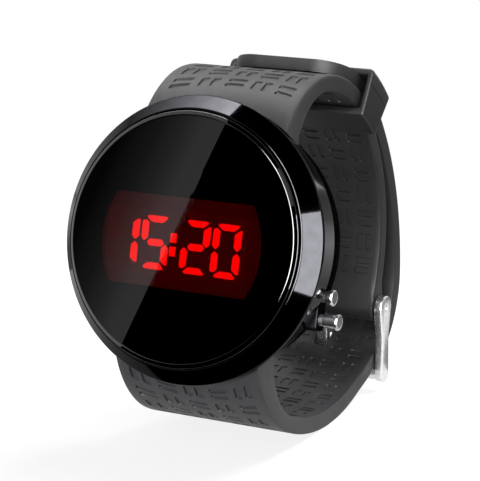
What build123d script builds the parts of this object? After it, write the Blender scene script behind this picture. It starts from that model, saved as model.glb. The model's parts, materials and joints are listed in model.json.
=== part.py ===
from build123d import *
from math import acos, asin, atan2, cos, degrees, hypot, radians, sin, sqrt
import os

# A round touch watch with red seven-segment digits and a silicone strap, standing closed on its strap.
# Millimetres. Every piece is drawn in the case's own frame: X points to 3 o'clock, Y into the case,
# Z to 12 o'clock, and the case axis is the line X = Z = 0 with the bezel's rim in the plane Y = 0.
# At the end the whole watch leans back and stands on the plane Z = 0.

# Case: bezel and crystal
rim_radius = 21.0
band_depth = 7.75
band_taper = 1.66
band_rear_chamfer = 0.35
rim_land = 0.4
rim_fillet = 0.25
bezel_face_width = 2.15
bezel_height = 2.5
crystal_proud = 0.83
crystal_bevel_width = 0.47
crystal_bevel_depth = 0.6
crystal_gap = 0.12
crystal_thickness = 1.83
gasket_thickness = 0.2
ledge_width = 1.85
ledge_thickness = 0.95
gasket_inset = 0.15
lip_round = 0.12

# Case: middle, back and screws
middle_gap = 0.1
middle_wall = 2.45
flange_inset = 2.4
flange_gap = 0.1
flange_thickness = 2.75
back_thickness = 1.3
back_inset = 0.2
back_chamfer = 0.4
back_spigot_depth = 0.3
back_spigot_gap = 0.1
back_panel_radius = 12.5
back_panel_depth = 0.25
back_gasket_inset = 0.35
back_gasket_width = 0.6
back_gasket_depth = 0.5
gasket_side_gap = 0.03
screw_count = 4
screw_radius = 0.45
screw_head_radius = 0.8
screw_head_depth = 0.55
screw_length = 2.8
screw_gap = 0.02
screw_slot_width = 0.25
screw_slot_depth = 0.2

# Display behind the crystal
mask_thickness = 0.15
mask_inset = 0.2
film_gap = 0.03
window_side_margin = 3.44
window_height_share = 0.5
window_bulge_share = 0.142
window_centre_x = -0.3
window_centre_z = -0.65
filter_thickness = 0.3
filter_margin = 0.7
digit_width_share = 0.354
digit_height_share = 1.221
digit_gap = 0.3
colon_room = 1.65
digits_right_share = 0.70
digits_drop = 0.3
segment_width = 1.2
segment_split = 0.18
segment_depth = 0.6
segment_gap = 0.02
colon_width = 1.1
colon_height = 1.5
colon_split = 0.42
display_margin = 0.75
display_depth = 2.6

# Movement: holder ring, board, battery and small parts
holder_gap = 0.1
holder_wall = 0.7
holder_shelf = 0.6
holder_end_gap = 0.1
board_gap = 0.1
board_thickness = 0.8
battery_room = 4.59
battery_thickness = 3.2
battery_centre_z = 2.0
battery_front_gap = 2.65
battery_edge = 0.4
battery_step = 0.25
cell_ring_gap = 0.1
cell_ring_wall = 0.7
cell_ring_height = 5.0
clip_strip = 0.25
clip_width = 3.0
clip_leg_gap = 0.1
contact_gap = 0.05
contact_strip_width = 2.4
contact_strip_reach = 6.0
contact_pad = 2.0
chip_size = 3.6
chip_height = 0.9
chip_lead_count = 4
chip_lead_width = 0.35
chip_lead_reach = 0.7
chip_lead_height = 0.2
chip_place_share = (0.40, -0.32)
resonator_radius = 0.9
resonator_length = 5.4
resonator_place_share = (-0.40, 0.42)
chip_part_length = 1.6
chip_part_width = 0.8
chip_part_height = 0.6
chip_part_count = 6
chip_part_circle_share = 0.86
chip_part_first_angle = 200.0
chip_part_step_angle = 15.0
touch_spring_radius = 1.2
touch_spring_wall = 0.3
touch_spring_place_share = -0.75

# Push buttons on the 3 o'clock side
button_heights = (-6.0, -9.4)
button_insets = (1.5, 0.3)
button_head_radius = 1.2
button_neck_radius = 1.08
button_rim_width = 0.45
button_edge = 0.2
button_stem_radius = 0.6
button_stem_gap = 0.05
button_travel = 0.6
button_lift = 0.75
button_end_inset = 0.74
boss_inset = 3.4
boss_margin = 0.45
boss_fillet = 0.6
spring_well_depth = 1.4
spring_wall = 0.2
spring_gap = 0.05
seal_thickness = 0.6
retainer_radius = 0.95
retainer_thickness = 0.3
retainer_groove = 0.18
retainer_gap = 0.05
boss_wall = 3.2
leaf_thickness = 0.15
leaf_gap = 0.65
leaf_width = 1.7
leaf_foot = 1.5

# Strap path in the side view: loop circle, corner by the case and lower sweep
loop_margin = 5.1
loop_inset = 6.6
loop_rise = 3.1
strap_thickness = 2.5
upper_corner_radius = 9.5
upper_corner_angle = 98.7
upper_shoulder_radius = 17.0
upper_shoulder_angle = 97.0
upper_slope = 32.0
end_turn = 71.0
lower_shift_share = 0.115
lower_drop = 4.2
lower_radius_share = 1.54
lower_corner_radius = 10.1
lower_corner_angle = -99.6
lower_shoulder_radius = 18.0
lower_slope = 43.0
strap_front = 1.2
strap_root_inset = 7.0
buckle_bend_share = 0.4885
tail_sweep_share = 1.638
layer_gap = 0.2
tail_join_angle = 53.0
tail_tip_angle = 83.0
tail_corner_radius = 5.5

# Strap width, holes and its fit round the case
strap_half_width = 12.0
strap_taper = 1.9
taper_start = -10.0
taper_length = 25.0
strap_gap = 0.15
hole_count = 7
hole_pitch = 7.0
hole_length = 4.8
hole_width = 2.6
hole_end_radius = 1.2
pin_hole_shift = 0.45

# Spring bars and the lugs hidden in the strap ends
lug_inner_x = 8.1
lug_thickness = 2.0
lug_radius = 1.1
lug_root_radius = 1.2
lug_root_inset = 0.24
lug_gap = 0.2
lug_bar_depth = 2.3
lug_bar_inset = 0.3
bar_radius = 0.75
bar_bore_radius = 0.5
bar_lip_radius = 0.45
bar_lip = 0.3
bar_gap = 0.05
bar_side_gap = 0.1
pin_radius = 0.4
pin_fit = 0.05
plunger_length = 1.2
lug_pin_reach = 0.9
lug_pin_hole_extra = 0.2
buckle_pin_inset = 0.15
bar_spring_radius = 0.46
bar_spring_wall = 0.12
bar_end_room = 0.1

# Buckle
buckle_angle = -13.4
eye_radius = 2.3
eye_ramp_angle = 9.0
buckle_side_gap = 0.25
buckle_plate = 1.4
crossbar_angle = -51.5
buckle_eye_radius = 2.45
buckle_waist_radius = 1.65
buckle_foot_radius = 1.75
buckle_waist_share = 0.42
crossbar_radius = 1.1
crossbar_gap = 0.2
buckle_edge = 0.3
tongue_width = 2.0
tongue_gap = 0.25
tongue_thickness = 1.3
tongue_rest_gap = 0.1
tongue_overhang = 1.3
tongue_knuckle_radius = 1.45

# Keeper loop
keeper_angle = 64.0
keeper_length = 7.2
keeper_wall = 1.5
keeper_gap = 0.15
keeper_side_gap = 0.35
keeper_reach_angle = 6.5
keeper_bevel = 0.9

# Stance of the closed watch, the overrun of through cuts and the tolerance of joined outlines
lean_angle = 13.86
overrun = 3.0
join_tolerance = 0.001

band_rear_radius = rim_radius - band_taper
bezel_lip_radius = rim_radius - bezel_face_width
flange_radius = rim_radius - flange_inset
flange_front = band_depth + flange_gap
case_depth = flange_front + flange_thickness
front = -bezel_height - crystal_proud
crystal_back = front + crystal_thickness
ledge_front = crystal_back + gasket_thickness
crystal_radius = bezel_lip_radius - crystal_gap - lip_round - lip_round
bezel_bore_radius = crystal_radius + crystal_gap
ledge_radius = bezel_bore_radius - ledge_width
ledge_rear = ledge_front + ledge_thickness
band_bore_radius = band_rear_radius - band_rear_chamfer - middle_gap - screw_head_radius - gasket_inset
middle_radius = band_bore_radius - middle_gap
cavity_radius = middle_radius - middle_wall
holder_radius = cavity_radius - holder_gap
board_room_radius = holder_radius - holder_wall
shelf_radius = board_room_radius - holder_shelf
mask_back = crystal_back + mask_thickness
filter_front = mask_back + film_gap
filter_back = filter_front + filter_thickness
display_front = filter_back + film_gap
display_rear = display_front + display_depth
board_rear = display_rear + board_thickness
window_half_width = ledge_radius - window_side_margin
window_half_height = window_half_width * window_height_share
window_side_bulge = window_half_width * window_bulge_share
digit_width = window_half_width * digit_width_share
digit_height = window_half_height * digit_height_share
digit_pitch = digit_width + digit_gap
digits_right_x = window_centre_x + window_half_width * digits_right_share
digits_centre_z = window_centre_z - digits_drop
holder_front = filter_back + holder_end_gap
holder_rear = case_depth - back_spigot_depth - holder_end_gap
battery_front = board_rear + battery_front_gap
battery_rear = battery_front + battery_thickness
back_face = case_depth + back_thickness
back_radius = flange_radius - back_inset
screw_circle_radius = back_radius - back_chamfer - screw_head_radius
battery_radius = board_room_radius - battery_room
button_depth = flange_front + flange_thickness / 2
button_reaches = tuple(rim_radius - inset for inset in button_insets)
button_end_radius = board_room_radius - button_end_inset
boss_face_x = rim_radius - boss_inset
inner_flat_x = boss_face_x - boss_wall
lug_bar_y = case_depth - lug_bar_depth
lug_bar_z = rim_radius - lug_bar_inset
lug_root_y = case_depth - lug_root_radius
lug_root_z = sqrt(flange_radius**2 - lug_inner_x**2) - lug_root_inset
strap_root_height = rim_radius - strap_root_inset
buckle_half_width = strap_half_width - strap_taper


def turned(points):
    """Solid turned about the case axis from (radius, depth) points."""
    return revolve(Polygon(*points, align=None), Axis.Y)


def turned_along_x(points, depth, height):
    """Solid turned about a line along X, from (x, radius) points."""
    return Pos(0, depth, height) * revolve(Polygon(*points, align=None), Axis.X)


def side_plate(sketch, low, high):
    """Side-view sketch, in (Y, Z), made solid from X = low to X = high."""
    return Pos(low, 0, 0) * extrude(Plane.YZ * sketch, amount=high - low, dir=(1, 0, 0))


def front_plate(sketch, near, far):
    """Front-view sketch, in (X, Z), made solid from Y = near to Y = far."""
    flat = Plane(origin=(0, near, 0), x_dir=(1, 0, 0), z_dir=(0, -1, 0))
    return extrude(flat * sketch, amount=far - near, dir=(0, 1, 0))


def block(low, high):
    """Box between two corners."""
    size = [b - a for a, b in zip(low, high)]
    middle = [a + s / 2 for a, s in zip(low, size)]
    return Pos(*middle) * Box(*size)


def disc(centre, radius):
    """Round patch in a sketch."""
    return Pos(*centre) * Circle(radius)


def on_circle(centre, radius, angle):
    """Point of a circle at an angle in degrees."""
    return (centre[0] + radius * cos(radians(angle)), centre[1] + radius * sin(radians(angle)))


def arc(centre, radius, start, end):
    """Arc of a circle from one angle to another."""
    middle = (start + end) / 2
    return ThreePointArc(*(on_circle(centre, radius, angle) for angle in (start, middle, end)))


def angle_of(centre, point):
    """Angle of a point as seen from a centre, in degrees."""
    return degrees(atan2(point[1] - centre[1], point[0] - centre[0]))


def meeting_point(first, first_radius, second, second_radius):
    """Where two circles meet, on the right-hand side of the line from the first to the second."""
    apart = hypot(second[0] - first[0], second[1] - first[1])
    along = (first_radius**2 - second_radius**2 + apart**2) / (2 * apart)
    aside = sqrt(first_radius**2 - along**2)
    step = ((second[0] - first[0]) / apart, (second[1] - first[1]) / apart)
    return (first[0] + along * step[0] + aside * step[1], first[1] + along * step[1] - aside * step[0])


def closed_face(edges):
    """Face inside a list of edges, joined end to end by straight lines where they don't touch."""
    loop = []
    for i, edge in enumerate(edges):
        loop.append(edge)
        following = edges[(i + 1) % len(edges)]
        if (edge @ 1 - following @ 0).length > join_tolerance:
            loop.append(Line(edge @ 1, following @ 0))
    return make_face(loop)


# The strap's circles in the side view, as (Y, Z) centres
loop_radius = rim_radius + loop_margin
loop_centre = (loop_radius - loop_inset, rim_radius + loop_rise - loop_radius)
lower_radius = loop_radius * lower_radius_share
lower_shift = loop_radius * lower_shift_share
lower_centre = (loop_centre[0] + lower_shift, lower_radius - lower_drop - rim_radius)
tail_sweep_radius = loop_radius * tail_sweep_share
buckle_bend_radius = loop_radius * buckle_bend_share
outer_radius = loop_radius + strap_thickness
tail_radius = outer_radius + layer_gap
upper_corner = on_circle(loop_centre, loop_radius - upper_corner_radius, upper_corner_angle)
upper_shoulder = on_circle(loop_centre, outer_radius - upper_shoulder_radius, upper_shoulder_angle)
lower_outer_radius = lower_radius + strap_thickness
lower_corner = on_circle(lower_centre, lower_radius - lower_corner_radius, lower_corner_angle)
lower_shoulder = on_circle(lower_centre, lower_outer_radius - lower_shoulder_radius, lower_corner_angle)
sweep_centre = on_circle(loop_centre, tail_radius - tail_sweep_radius, tail_join_angle)
bend_centre = meeting_point(
    sweep_centre, tail_sweep_radius - buckle_bend_radius, lower_centre, lower_radius - buckle_bend_radius
)
bend_start_angle = angle_of(lower_centre, bend_centre)
bend_end_angle = angle_of(sweep_centre, bend_centre)
buckle_bar = on_circle(loop_centre, loop_radius + eye_radius, buckle_angle)
crossbar = on_circle(lower_centre, lower_outer_radius + crossbar_gap + crossbar_radius, crossbar_angle)
buckle_length = hypot(crossbar[0] - buckle_bar[0], crossbar[1] - buckle_bar[1])
tail_arcs = (
    (lower_centre, lower_radius, lower_corner_angle, bend_start_angle),
    (bend_centre, buckle_bend_radius, bend_start_angle, bend_end_angle),
    (sweep_centre, tail_sweep_radius, bend_end_angle, tail_join_angle),
    (loop_centre, tail_radius, tail_join_angle, tail_tip_angle),
)
lug_bars = ((lug_bar_y, lug_bar_z), (lug_bar_y, -lug_bar_z))


# Case pieces
def make_bezel():
    """Polished ring: chamfered face, conical band and the ledge that the crystal is bonded to."""
    lip_top = -bezel_height
    profile = Polygon(
        (ledge_radius, ledge_front),
        (bezel_bore_radius, ledge_front),
        (bezel_bore_radius, lip_top + lip_round),
        (bezel_lip_radius - lip_round, lip_top),
        (bezel_lip_radius, lip_top),
        (rim_radius, 0),
        (rim_radius, rim_land),
        (band_rear_radius, band_depth - band_rear_chamfer),
        (band_rear_radius - band_rear_chamfer, band_depth),
        (band_bore_radius, band_depth),
        (band_bore_radius, ledge_rear),
        (ledge_radius, ledge_rear),
        align=None,
    )
    rim = profile.vertices().sort_by(Axis.X)[-2:]
    return revolve(fillet(rim, rim_fillet), Axis.Y)


def make_crystal():
    """Mirror-black glass disc that stands proud of the bezel, with a bevelled edge."""
    return turned([
        (0, front),
        (crystal_radius - crystal_bevel_width, front),
        (crystal_radius, front + crystal_bevel_depth),
        (crystal_radius, crystal_back),
        (0, crystal_back),
    ])


def make_crystal_gasket():
    """Flat bonding ring between the crystal and the bezel's ledge."""
    inner = ledge_radius + gasket_inset
    outer = bezel_bore_radius - gasket_inset
    return turned([(inner, crystal_back), (outer, crystal_back), (outer, ledge_front), (inner, ledge_front)])


def window_sketch(margin):
    """Barrel-shaped window, with straight long sides and bowed ends."""
    half_height = window_half_height + margin
    corner_x = window_half_width + margin - window_side_bulge
    right = ThreePointArc(
        (corner_x, -half_height), (window_half_width + margin, 0), (corner_x, half_height)
    )
    left = ThreePointArc(
        (-corner_x, half_height), (-window_half_width - margin, 0), (-corner_x, -half_height)
    )
    return Pos(window_centre_x, window_centre_z) * closed_face([right, left])


def make_crystal_mask():
    """Black mask under the crystal, open at the display window."""
    sheet = Circle(ledge_radius - mask_inset) - window_sketch(0)
    return front_plate(sheet, crystal_back, mask_back)


def make_window_filter():
    """Deep red film that covers the window from behind."""
    return front_plate(window_sketch(filter_margin), filter_front, filter_back)


def segment_shapes(shrink):
    """The seven bars of one digit, by name, in the digit's own (x, z) with its left foot at zero."""
    w = segment_width
    right = digit_width
    top = digit_height
    half = top / 2
    s = segment_split / 2 + shrink
    outer = shrink
    inner = w - shrink

    def mirrored(points, flip_x, flip_z):
        return [(right - x if flip_x else x, top - z if flip_z else z) for x, z in points]

    foot = [(outer + s, outer), (right - outer - s, outer), (right - w - s, inner), (w + s, inner)]
    shoulder = half - w / 2 - s
    post = [(outer, outer + s), (inner, w + s), (inner, shoulder), (w / 2, half - s), (outer, shoulder)]
    waist = [
        (w / 2 + s, half),
        (w + s, half - w / 2 + shrink),
        (right - w - s, half - w / 2 + shrink),
        (right - w / 2 - s, half),
        (right - w - s, half + w / 2 - shrink),
        (w + s, half + w / 2 - shrink),
    ]
    return {
        "a": mirrored(foot, False, True),
        "b": mirrored(post, True, True),
        "c": mirrored(post, True, False),
        "d": foot,
        "e": post,
        "f": mirrored(post, False, True),
        "g": waist,
    }


def display_segments(names_by_digit, with_colon, shrink):
    """Chosen bars of the four digits, and the colon, as one sketch."""
    foot_z = digits_centre_z - digit_height / 2
    sketch = Sketch()
    for place, names in enumerate(names_by_digit):
        cells_to_right = len(names_by_digit) - place
        room = colon_room if place < 2 else 0
        left = digits_right_x - digit_width - digit_pitch * (cells_to_right - 1) - room
        for name in names:
            sketch += Pos(left, foot_z) * Polygon(*segment_shapes(shrink)[name], align=None)
    if with_colon:
        colon_x = digits_right_x - digit_pitch * 2 - (colon_room - digit_width + digit_pitch) / 2
        for side in (-1, 1):
            centre = (colon_x, digits_centre_z + side * (colon_height + colon_split) / 2)
            sketch += Pos(*centre) * Rectangle(colon_width - 2 * shrink, colon_height - 2 * shrink)
    return sketch


lit_bars = ("bc", "acdfg", "abdeg", "abcdef")
dark_bars = ("adefg", "be", "cf", "g")


def make_lit_segments():
    """Light-guide bars that glow."""
    sketch = display_segments(lit_bars, True, segment_gap)
    return front_plate(sketch, display_front, display_front + segment_depth)


def make_dark_segments():
    """Light-guide bars that are off."""
    sketch = display_segments(dark_bars, False, segment_gap)
    return front_plate(sketch, display_front, display_front + segment_depth)


def make_display_body():
    """Black reflector block with a pocket for each bar."""
    left = digits_right_x - digit_width - digit_pitch * 3 - colon_room - display_margin
    right = digits_right_x + display_margin
    height = digit_height + 2 * display_margin
    slab = Pos((left + right) / 2, digits_centre_z) * Rectangle(right - left, height)
    slab = slab & Circle(shelf_radius - board_gap)
    pockets = display_segments(lit_bars, True, 0) + display_segments(dark_bars, False, 0)
    body = front_plate(slab, display_front, display_rear)
    return body - front_plate(pockets, display_front, display_front + segment_depth)


def button_cuts(radius, start_x, end_x):
    """Round bores along X at both buttons."""
    bores = [
        turned_along_x([(start_x, 0), (start_x, radius), (end_x, radius), (end_x, 0)], button_depth, z)
        for z in button_heights
    ]
    return bores[0] + bores[1]


def lug_profile(side, extra):
    """Side outline of a hidden lug, from the flange out to the spring bar."""
    bar = disc((lug_bar_y, side * lug_bar_z), lug_radius + extra)
    root = disc((lug_root_y, side * lug_root_z), lug_root_radius + extra)
    return make_hull((bar + root).edges())


def lug_spans():
    """The X spans of the two lugs at each end."""
    outer = lug_inner_x + lug_thickness
    return ((lug_inner_x, outer), (-outer, -lug_inner_x))


def make_middle_case():
    """Inner case: wall inside the bezel, rear flange, four strap lugs and the button boss."""
    body = turned([
        (cavity_radius, ledge_rear + flange_gap / 2),
        (middle_radius, ledge_rear + flange_gap / 2),
        (middle_radius, flange_front),
        (flange_radius, flange_front),
        (flange_radius, case_depth),
        (cavity_radius, case_depth),
    ])
    low_z = min(button_heights) - button_head_radius - boss_margin
    high_z = max(button_heights) + button_head_radius + boss_margin
    boss_middle = ((flange_front + case_depth) / 2, (low_z + high_z) / 2)
    boss_sketch = Pos(*boss_middle) * RectangleRounded(case_depth - flange_front, high_z - low_z, boss_fillet)
    boss = side_plate(boss_sketch, inner_flat_x, boss_face_x)
    spot_face = side_plate(boss_sketch, boss_face_x, rim_radius)
    body = body + boss - spot_face
    for side in (-1, 1):
        for low, high in lug_spans():
            body += side_plate(lug_profile(side, 0), low, high)
            hole_start = lug_inner_x - overrun
            hole_end = lug_inner_x + lug_pin_reach + lug_pin_hole_extra
            turn = 1 if low > 0 else -1
            hole = side_plate(disc((lug_bar_y, side * lug_bar_z), pin_radius + pin_fit), hole_start, hole_end)
            body -= hole if turn > 0 else mirror(hole, Plane.YZ)
    cavity_front = ledge_rear
    body -= turned([
        (0, cavity_front),
        (cavity_radius, cavity_front),
        (cavity_radius, case_depth),
        (0, case_depth),
    ])
    pocket_front = button_depth - button_head_radius
    pocket_low = (0, pocket_front, low_z + boss_margin)
    body -= block(pocket_low, (inner_flat_x, case_depth, high_z - boss_margin))
    body -= button_cuts(button_stem_radius + button_stem_gap, inner_flat_x - overrun, boss_face_x + overrun)
    well_radius = button_stem_radius + spring_gap * 2 + spring_wall
    body -= button_cuts(well_radius, boss_face_x - spring_well_depth, boss_face_x + overrun)
    groove_inner = cavity_radius + back_gasket_inset
    groove_outer = groove_inner + back_gasket_width
    body -= turned([
        (groove_inner, case_depth - back_gasket_depth),
        (groove_outer, case_depth - back_gasket_depth),
        (groove_outer, case_depth),
        (groove_inner, case_depth),
    ])
    return body - screw_holes(screw_radius + screw_gap, back_face - screw_length - screw_gap, case_depth)


def screw_holes(radius, near, far):
    """Round posts at the case screws, between two depths."""
    places = PolarLocations(screw_circle_radius, screw_count, start_angle=360 / screw_count / 2)
    return front_plate(Sketch() + places * Circle(radius), near, far)


def make_case_back():
    """Screwed back with a spigot that centres it and a shallow round panel."""
    spigot = cavity_radius - back_spigot_gap
    body = turned([
        (0, case_depth - back_spigot_depth),
        (spigot, case_depth - back_spigot_depth),
        (spigot, case_depth),
        (back_radius, case_depth),
        (back_radius, back_face - back_chamfer),
        (back_radius - back_chamfer, back_face),
        (back_panel_radius, back_face),
        (back_panel_radius - back_panel_depth, back_face - back_panel_depth),
        (0, back_face - back_panel_depth),
    ])
    body -= screw_holes(screw_radius + screw_gap, case_depth, back_face)
    seat = back_face - screw_head_depth - screw_gap
    return body - screw_holes(screw_head_radius + screw_gap, seat, back_face)


def make_case_screws():
    """Four slotted pan screws, sunk flush in the back."""
    screws = []
    for place in PolarLocations(screw_circle_radius, screw_count, start_angle=360 / screw_count / 2):
        centre = (place.position.X, place.position.Y)
        neck = back_face - screw_head_depth
        shank = front_plate(disc(centre, screw_radius), back_face - screw_length, neck)
        head = front_plate(disc(centre, screw_head_radius), neck, back_face)
        slot = Pos(*centre) * Rectangle(2 * screw_head_radius, screw_slot_width)
        screws.append(shank + head - front_plate(slot, back_face - screw_slot_depth, back_face))
    return Compound(children=screws)


def make_back_gasket():
    """Square-section seal in the groove under the case back."""
    inner = cavity_radius + back_gasket_inset + gasket_side_gap
    outer = inner + back_gasket_width - 2 * gasket_side_gap
    near = case_depth - back_gasket_depth
    return turned([(inner, near), (outer, near), (outer, case_depth), (inner, case_depth)])


# Movement pieces
def make_movement_holder():
    """Plastic ring with a shelf for the board and a window for the button stems."""
    ring = turned([
        (shelf_radius, holder_front),
        (holder_radius, holder_front),
        (holder_radius, holder_rear),
        (board_room_radius, holder_rear),
        (board_room_radius, display_rear),
        (shelf_radius, display_rear),
    ])
    low_z = min(button_heights) - button_head_radius - boss_margin
    high_z = max(button_heights) + button_head_radius + boss_margin
    window_front = button_depth - button_head_radius - boss_margin
    return ring - block((0, window_front, low_z), (rim_radius, holder_rear, high_z))


def make_circuit_board():
    """Round board that rests on the holder's shelf."""
    return front_plate(Circle(board_room_radius - board_gap), display_rear, board_rear)


def place_under_cell(share):
    """Point on the board under the cell, in shares of the cell's radius."""
    return (share[0] * battery_radius, battery_centre_z + share[1] * battery_radius)


def make_controller_chip():
    """Square controller with leads on two sides."""
    x, z = place_under_cell(chip_place_share)
    body = front_plate(Pos(x, z) * Rectangle(chip_size, chip_size), board_rear, board_rear + chip_height)
    pitch = chip_size / chip_lead_count
    span = chip_size + 2 * chip_lead_reach
    leads = Sketch()
    for i in range(chip_lead_count):
        lead_z = z - chip_size / 2 + (i + 1 / 2) * pitch
        leads += Pos(x, lead_z) * Rectangle(span, chip_lead_width)
    return body + front_plate(leads, board_rear, board_rear + chip_lead_height)


def make_timing_crystal():
    """Small cylindrical quartz can that lies on the board."""
    x, z = place_under_cell(resonator_place_share)
    can = Cylinder(resonator_radius, resonator_length, rotation=(0, 90, 0))
    return Pos(x, board_rear + resonator_radius, z) * can


def make_chip_parts():
    """Small resistors and capacitors in a row round the board's lower edge."""
    reach = chip_part_circle_share * (board_room_radius - board_gap)
    parts = []
    for i in range(chip_part_count):
        angle = chip_part_first_angle + chip_part_step_angle * i
        x, z = on_circle((0, 0), reach, angle)
        sketch = Pos(x, z) * Rot(0, 0, angle) * Rectangle(chip_part_length, chip_part_width)
        parts.append(front_plate(sketch, board_rear, board_rear + chip_part_height))
    return Compound(children=parts)


def make_touch_spring():
    """Spring contact from the board up to the touch pad behind the mask."""
    z = touch_spring_place_share * (board_room_radius - board_gap)
    sketch = disc((0, z), touch_spring_radius) - disc((0, z), touch_spring_radius - touch_spring_wall)
    return front_plate(sketch, mask_back, display_rear)


def make_battery():
    """Coin cell: wide positive can and a smaller stepped negative face."""
    points = [
        (0, battery_front),
        (battery_radius - battery_step * 4, battery_front),
        (battery_radius - battery_step * 4, battery_front + battery_step),
        (battery_radius - battery_edge, battery_front + battery_step),
        (battery_radius, battery_front + battery_step + battery_edge),
        (battery_radius, battery_rear - battery_edge),
        (battery_radius - battery_edge, battery_rear),
        (0, battery_rear),
    ]
    return Pos(0, 0, battery_centre_z) * turned(points)


def make_cell_ring():
    """Plastic ring on the board that keeps the cell centred."""
    inner = battery_radius + cell_ring_gap
    sketch = Circle(inner + cell_ring_wall) - Circle(inner)
    return front_plate(Pos(0, battery_centre_z) * sketch, board_rear, board_rear + cell_ring_height)


def make_positive_clip():
    """Bent strip over the cell's can, with a leg to the board on each side."""
    inner_x = battery_radius + cell_ring_gap + cell_ring_wall + clip_leg_gap
    outer_x = inner_x + clip_strip
    near = battery_rear + contact_gap
    far = near + clip_strip
    low_z = battery_centre_z - clip_width / 2
    high_z = battery_centre_z + clip_width / 2
    bridge = block((-outer_x, near, low_z), (outer_x, far, high_z))
    right_leg = block((inner_x, board_rear, low_z), (outer_x, far, high_z))
    return bridge + right_leg + mirror(right_leg, Plane.YZ)


def make_negative_contact():
    """Sprung strip that rises from the board to the cell's negative face."""
    low_z = battery_centre_z - contact_strip_width / 2
    top = battery_front - contact_gap
    half = contact_strip_reach / 2
    side = Polygon(
        (-half - contact_pad, board_rear),
        (-half, board_rear),
        (half, top - clip_strip),
        (half + contact_pad, top - clip_strip),
        (half + contact_pad, top),
        (half - clip_strip, top),
        (-half - clip_strip, board_rear + clip_strip),
        (-half - contact_pad, board_rear + clip_strip),
        align=None,
    )
    return Pos(0, 0, low_z) * extrude(side, amount=contact_strip_width)


# Push buttons
def button_inner_x(height):
    """X of the inner end of a button stem."""
    return sqrt(button_end_radius**2 - height**2)


def make_button(index):
    """Button with a neck, a polished rim, a long stem and a groove for its retainer."""
    height = button_heights[index]
    reach = button_reaches[index]
    end_x = button_inner_x(height)
    groove_far = inner_flat_x - retainer_gap
    groove_near = groove_far - retainer_thickness
    head_x = boss_face_x + button_lift
    groove_radius = button_stem_radius - retainer_groove
    return turned_along_x([
        (end_x, 0),
        (end_x, button_stem_radius),
        (groove_near, button_stem_radius),
        (groove_near, groove_radius),
        (groove_far, groove_radius),
        (groove_far, button_stem_radius),
        (head_x, button_stem_radius),
        (head_x, button_neck_radius),
        (reach - button_rim_width - button_edge, button_neck_radius),
        (reach - button_rim_width, button_head_radius),
        (reach - button_edge, button_head_radius),
        (reach, button_head_radius - button_edge),
        (reach, 0),
    ], button_depth, height)


def make_button_spring(index):
    """Return spring round the stem, drawn as a sleeve from the well up to the head."""
    inner = button_stem_radius + spring_gap
    outer = inner + spring_wall
    start = boss_face_x - spring_well_depth + seal_thickness + button_travel
    end = boss_face_x + button_lift
    return turned_along_x(
        [(start, inner), (start, outer), (end, outer), (end, inner)], button_depth, button_heights[index]
    )


def make_button_seals():
    """Rubber rings at the foot of both spring wells."""
    inner = button_stem_radius + button_stem_gap
    outer = button_stem_radius + spring_gap * 2 + spring_wall - gasket_side_gap
    start = boss_face_x - spring_well_depth
    end = start + seal_thickness
    rings = [
        turned_along_x([(start, inner), (start, outer), (end, outer), (end, inner)], button_depth, z)
        for z in button_heights
    ]
    return Compound(children=rings)


def make_button_retainer(index):
    """Open clip in the stem's groove that keeps the button in the case."""
    far = inner_flat_x - retainer_gap
    near = far - retainer_thickness
    inner = button_stem_radius - retainer_groove
    height = button_heights[index]
    ring = turned_along_x(
        [(near, inner), (near, retainer_radius), (far, retainer_radius), (far, inner)], button_depth, height
    )
    mouth = block(
        (near, button_depth, height - inner), (far, button_depth + retainer_radius + overrun, height + inner)
    )
    return ring - mouth


def make_switch_leaves():
    """Sprung leaves on the board that the button stems press."""
    leaves = []
    for height in button_heights:
        far_x = button_inner_x(height) - leaf_gap
        near_x = far_x - leaf_thickness
        low_z = height - leaf_width / 2
        high_z = height + leaf_width / 2
        top = button_depth + button_stem_radius
        blade = block((near_x, board_rear, low_z), (far_x, top, high_z))
        foot = block((far_x - leaf_foot, board_rear, low_z), (far_x, board_rear + leaf_thickness, high_z))
        leaves.append(blade + foot)
    return Compound(children=leaves)


# Strap
def plan_prism(fall):
    """Prism with the strap's plan: it narrows from the case towards the buckle.

    It is laid along the line halfway between the Y axis and the Z axis, and fall is 1 for the
    upper strap, which narrows downwards at the back, and -1 for the lower one."""
    size = rim_radius * 5
    flat = Plane(origin=(0, 0, 0), x_dir=(1, 0, 0), z_dir=(0, fall, 1))
    end = taper_start + taper_length
    right = [(0, -size), (strap_half_width, -size), (strap_half_width, taper_start)]
    right += [(buckle_half_width, end), (buckle_half_width, size), (0, size)]
    half = Polygon(*right, align=None)
    sketch = half + mirror(half, Plane.YZ)
    return extrude(flat * sketch, amount=size, both=True)


def case_space():
    """Room for the case between the strap's ends."""
    wide = rim_radius + strap_gap
    return turned([
        (0, front - overrun),
        (wide, front - overrun),
        (wide, rim_land),
        (band_rear_radius + strap_gap, band_depth + strap_gap),
        (flange_radius + strap_gap, band_depth + strap_gap),
        (flange_radius + strap_gap, back_face + overrun),
        (0, back_face + overrun),
    ])


def strap_root_cuts(side):
    """Cuts in a strap end: the case, the lug slots and the spring bar's bore."""
    cuts = case_space()
    bar = disc((lug_bar_y, side * lug_bar_z), lug_radius + lug_gap)
    root = disc((lug_root_y, side * lug_root_z), lug_root_radius + lug_gap)
    mouth = disc((lug_bar_y + overrun, side * lug_bar_z), lug_radius + lug_gap)
    slot = make_hull((bar + root + mouth).edges())
    for low, high in lug_spans():
        cuts += side_plate(slot, low - lug_gap, high + lug_gap)
    bore = disc((lug_bar_y, side * lug_bar_z), bar_radius + bar_gap)
    return cuts + side_plate(bore, -lug_inner_x, lug_inner_x)


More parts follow.
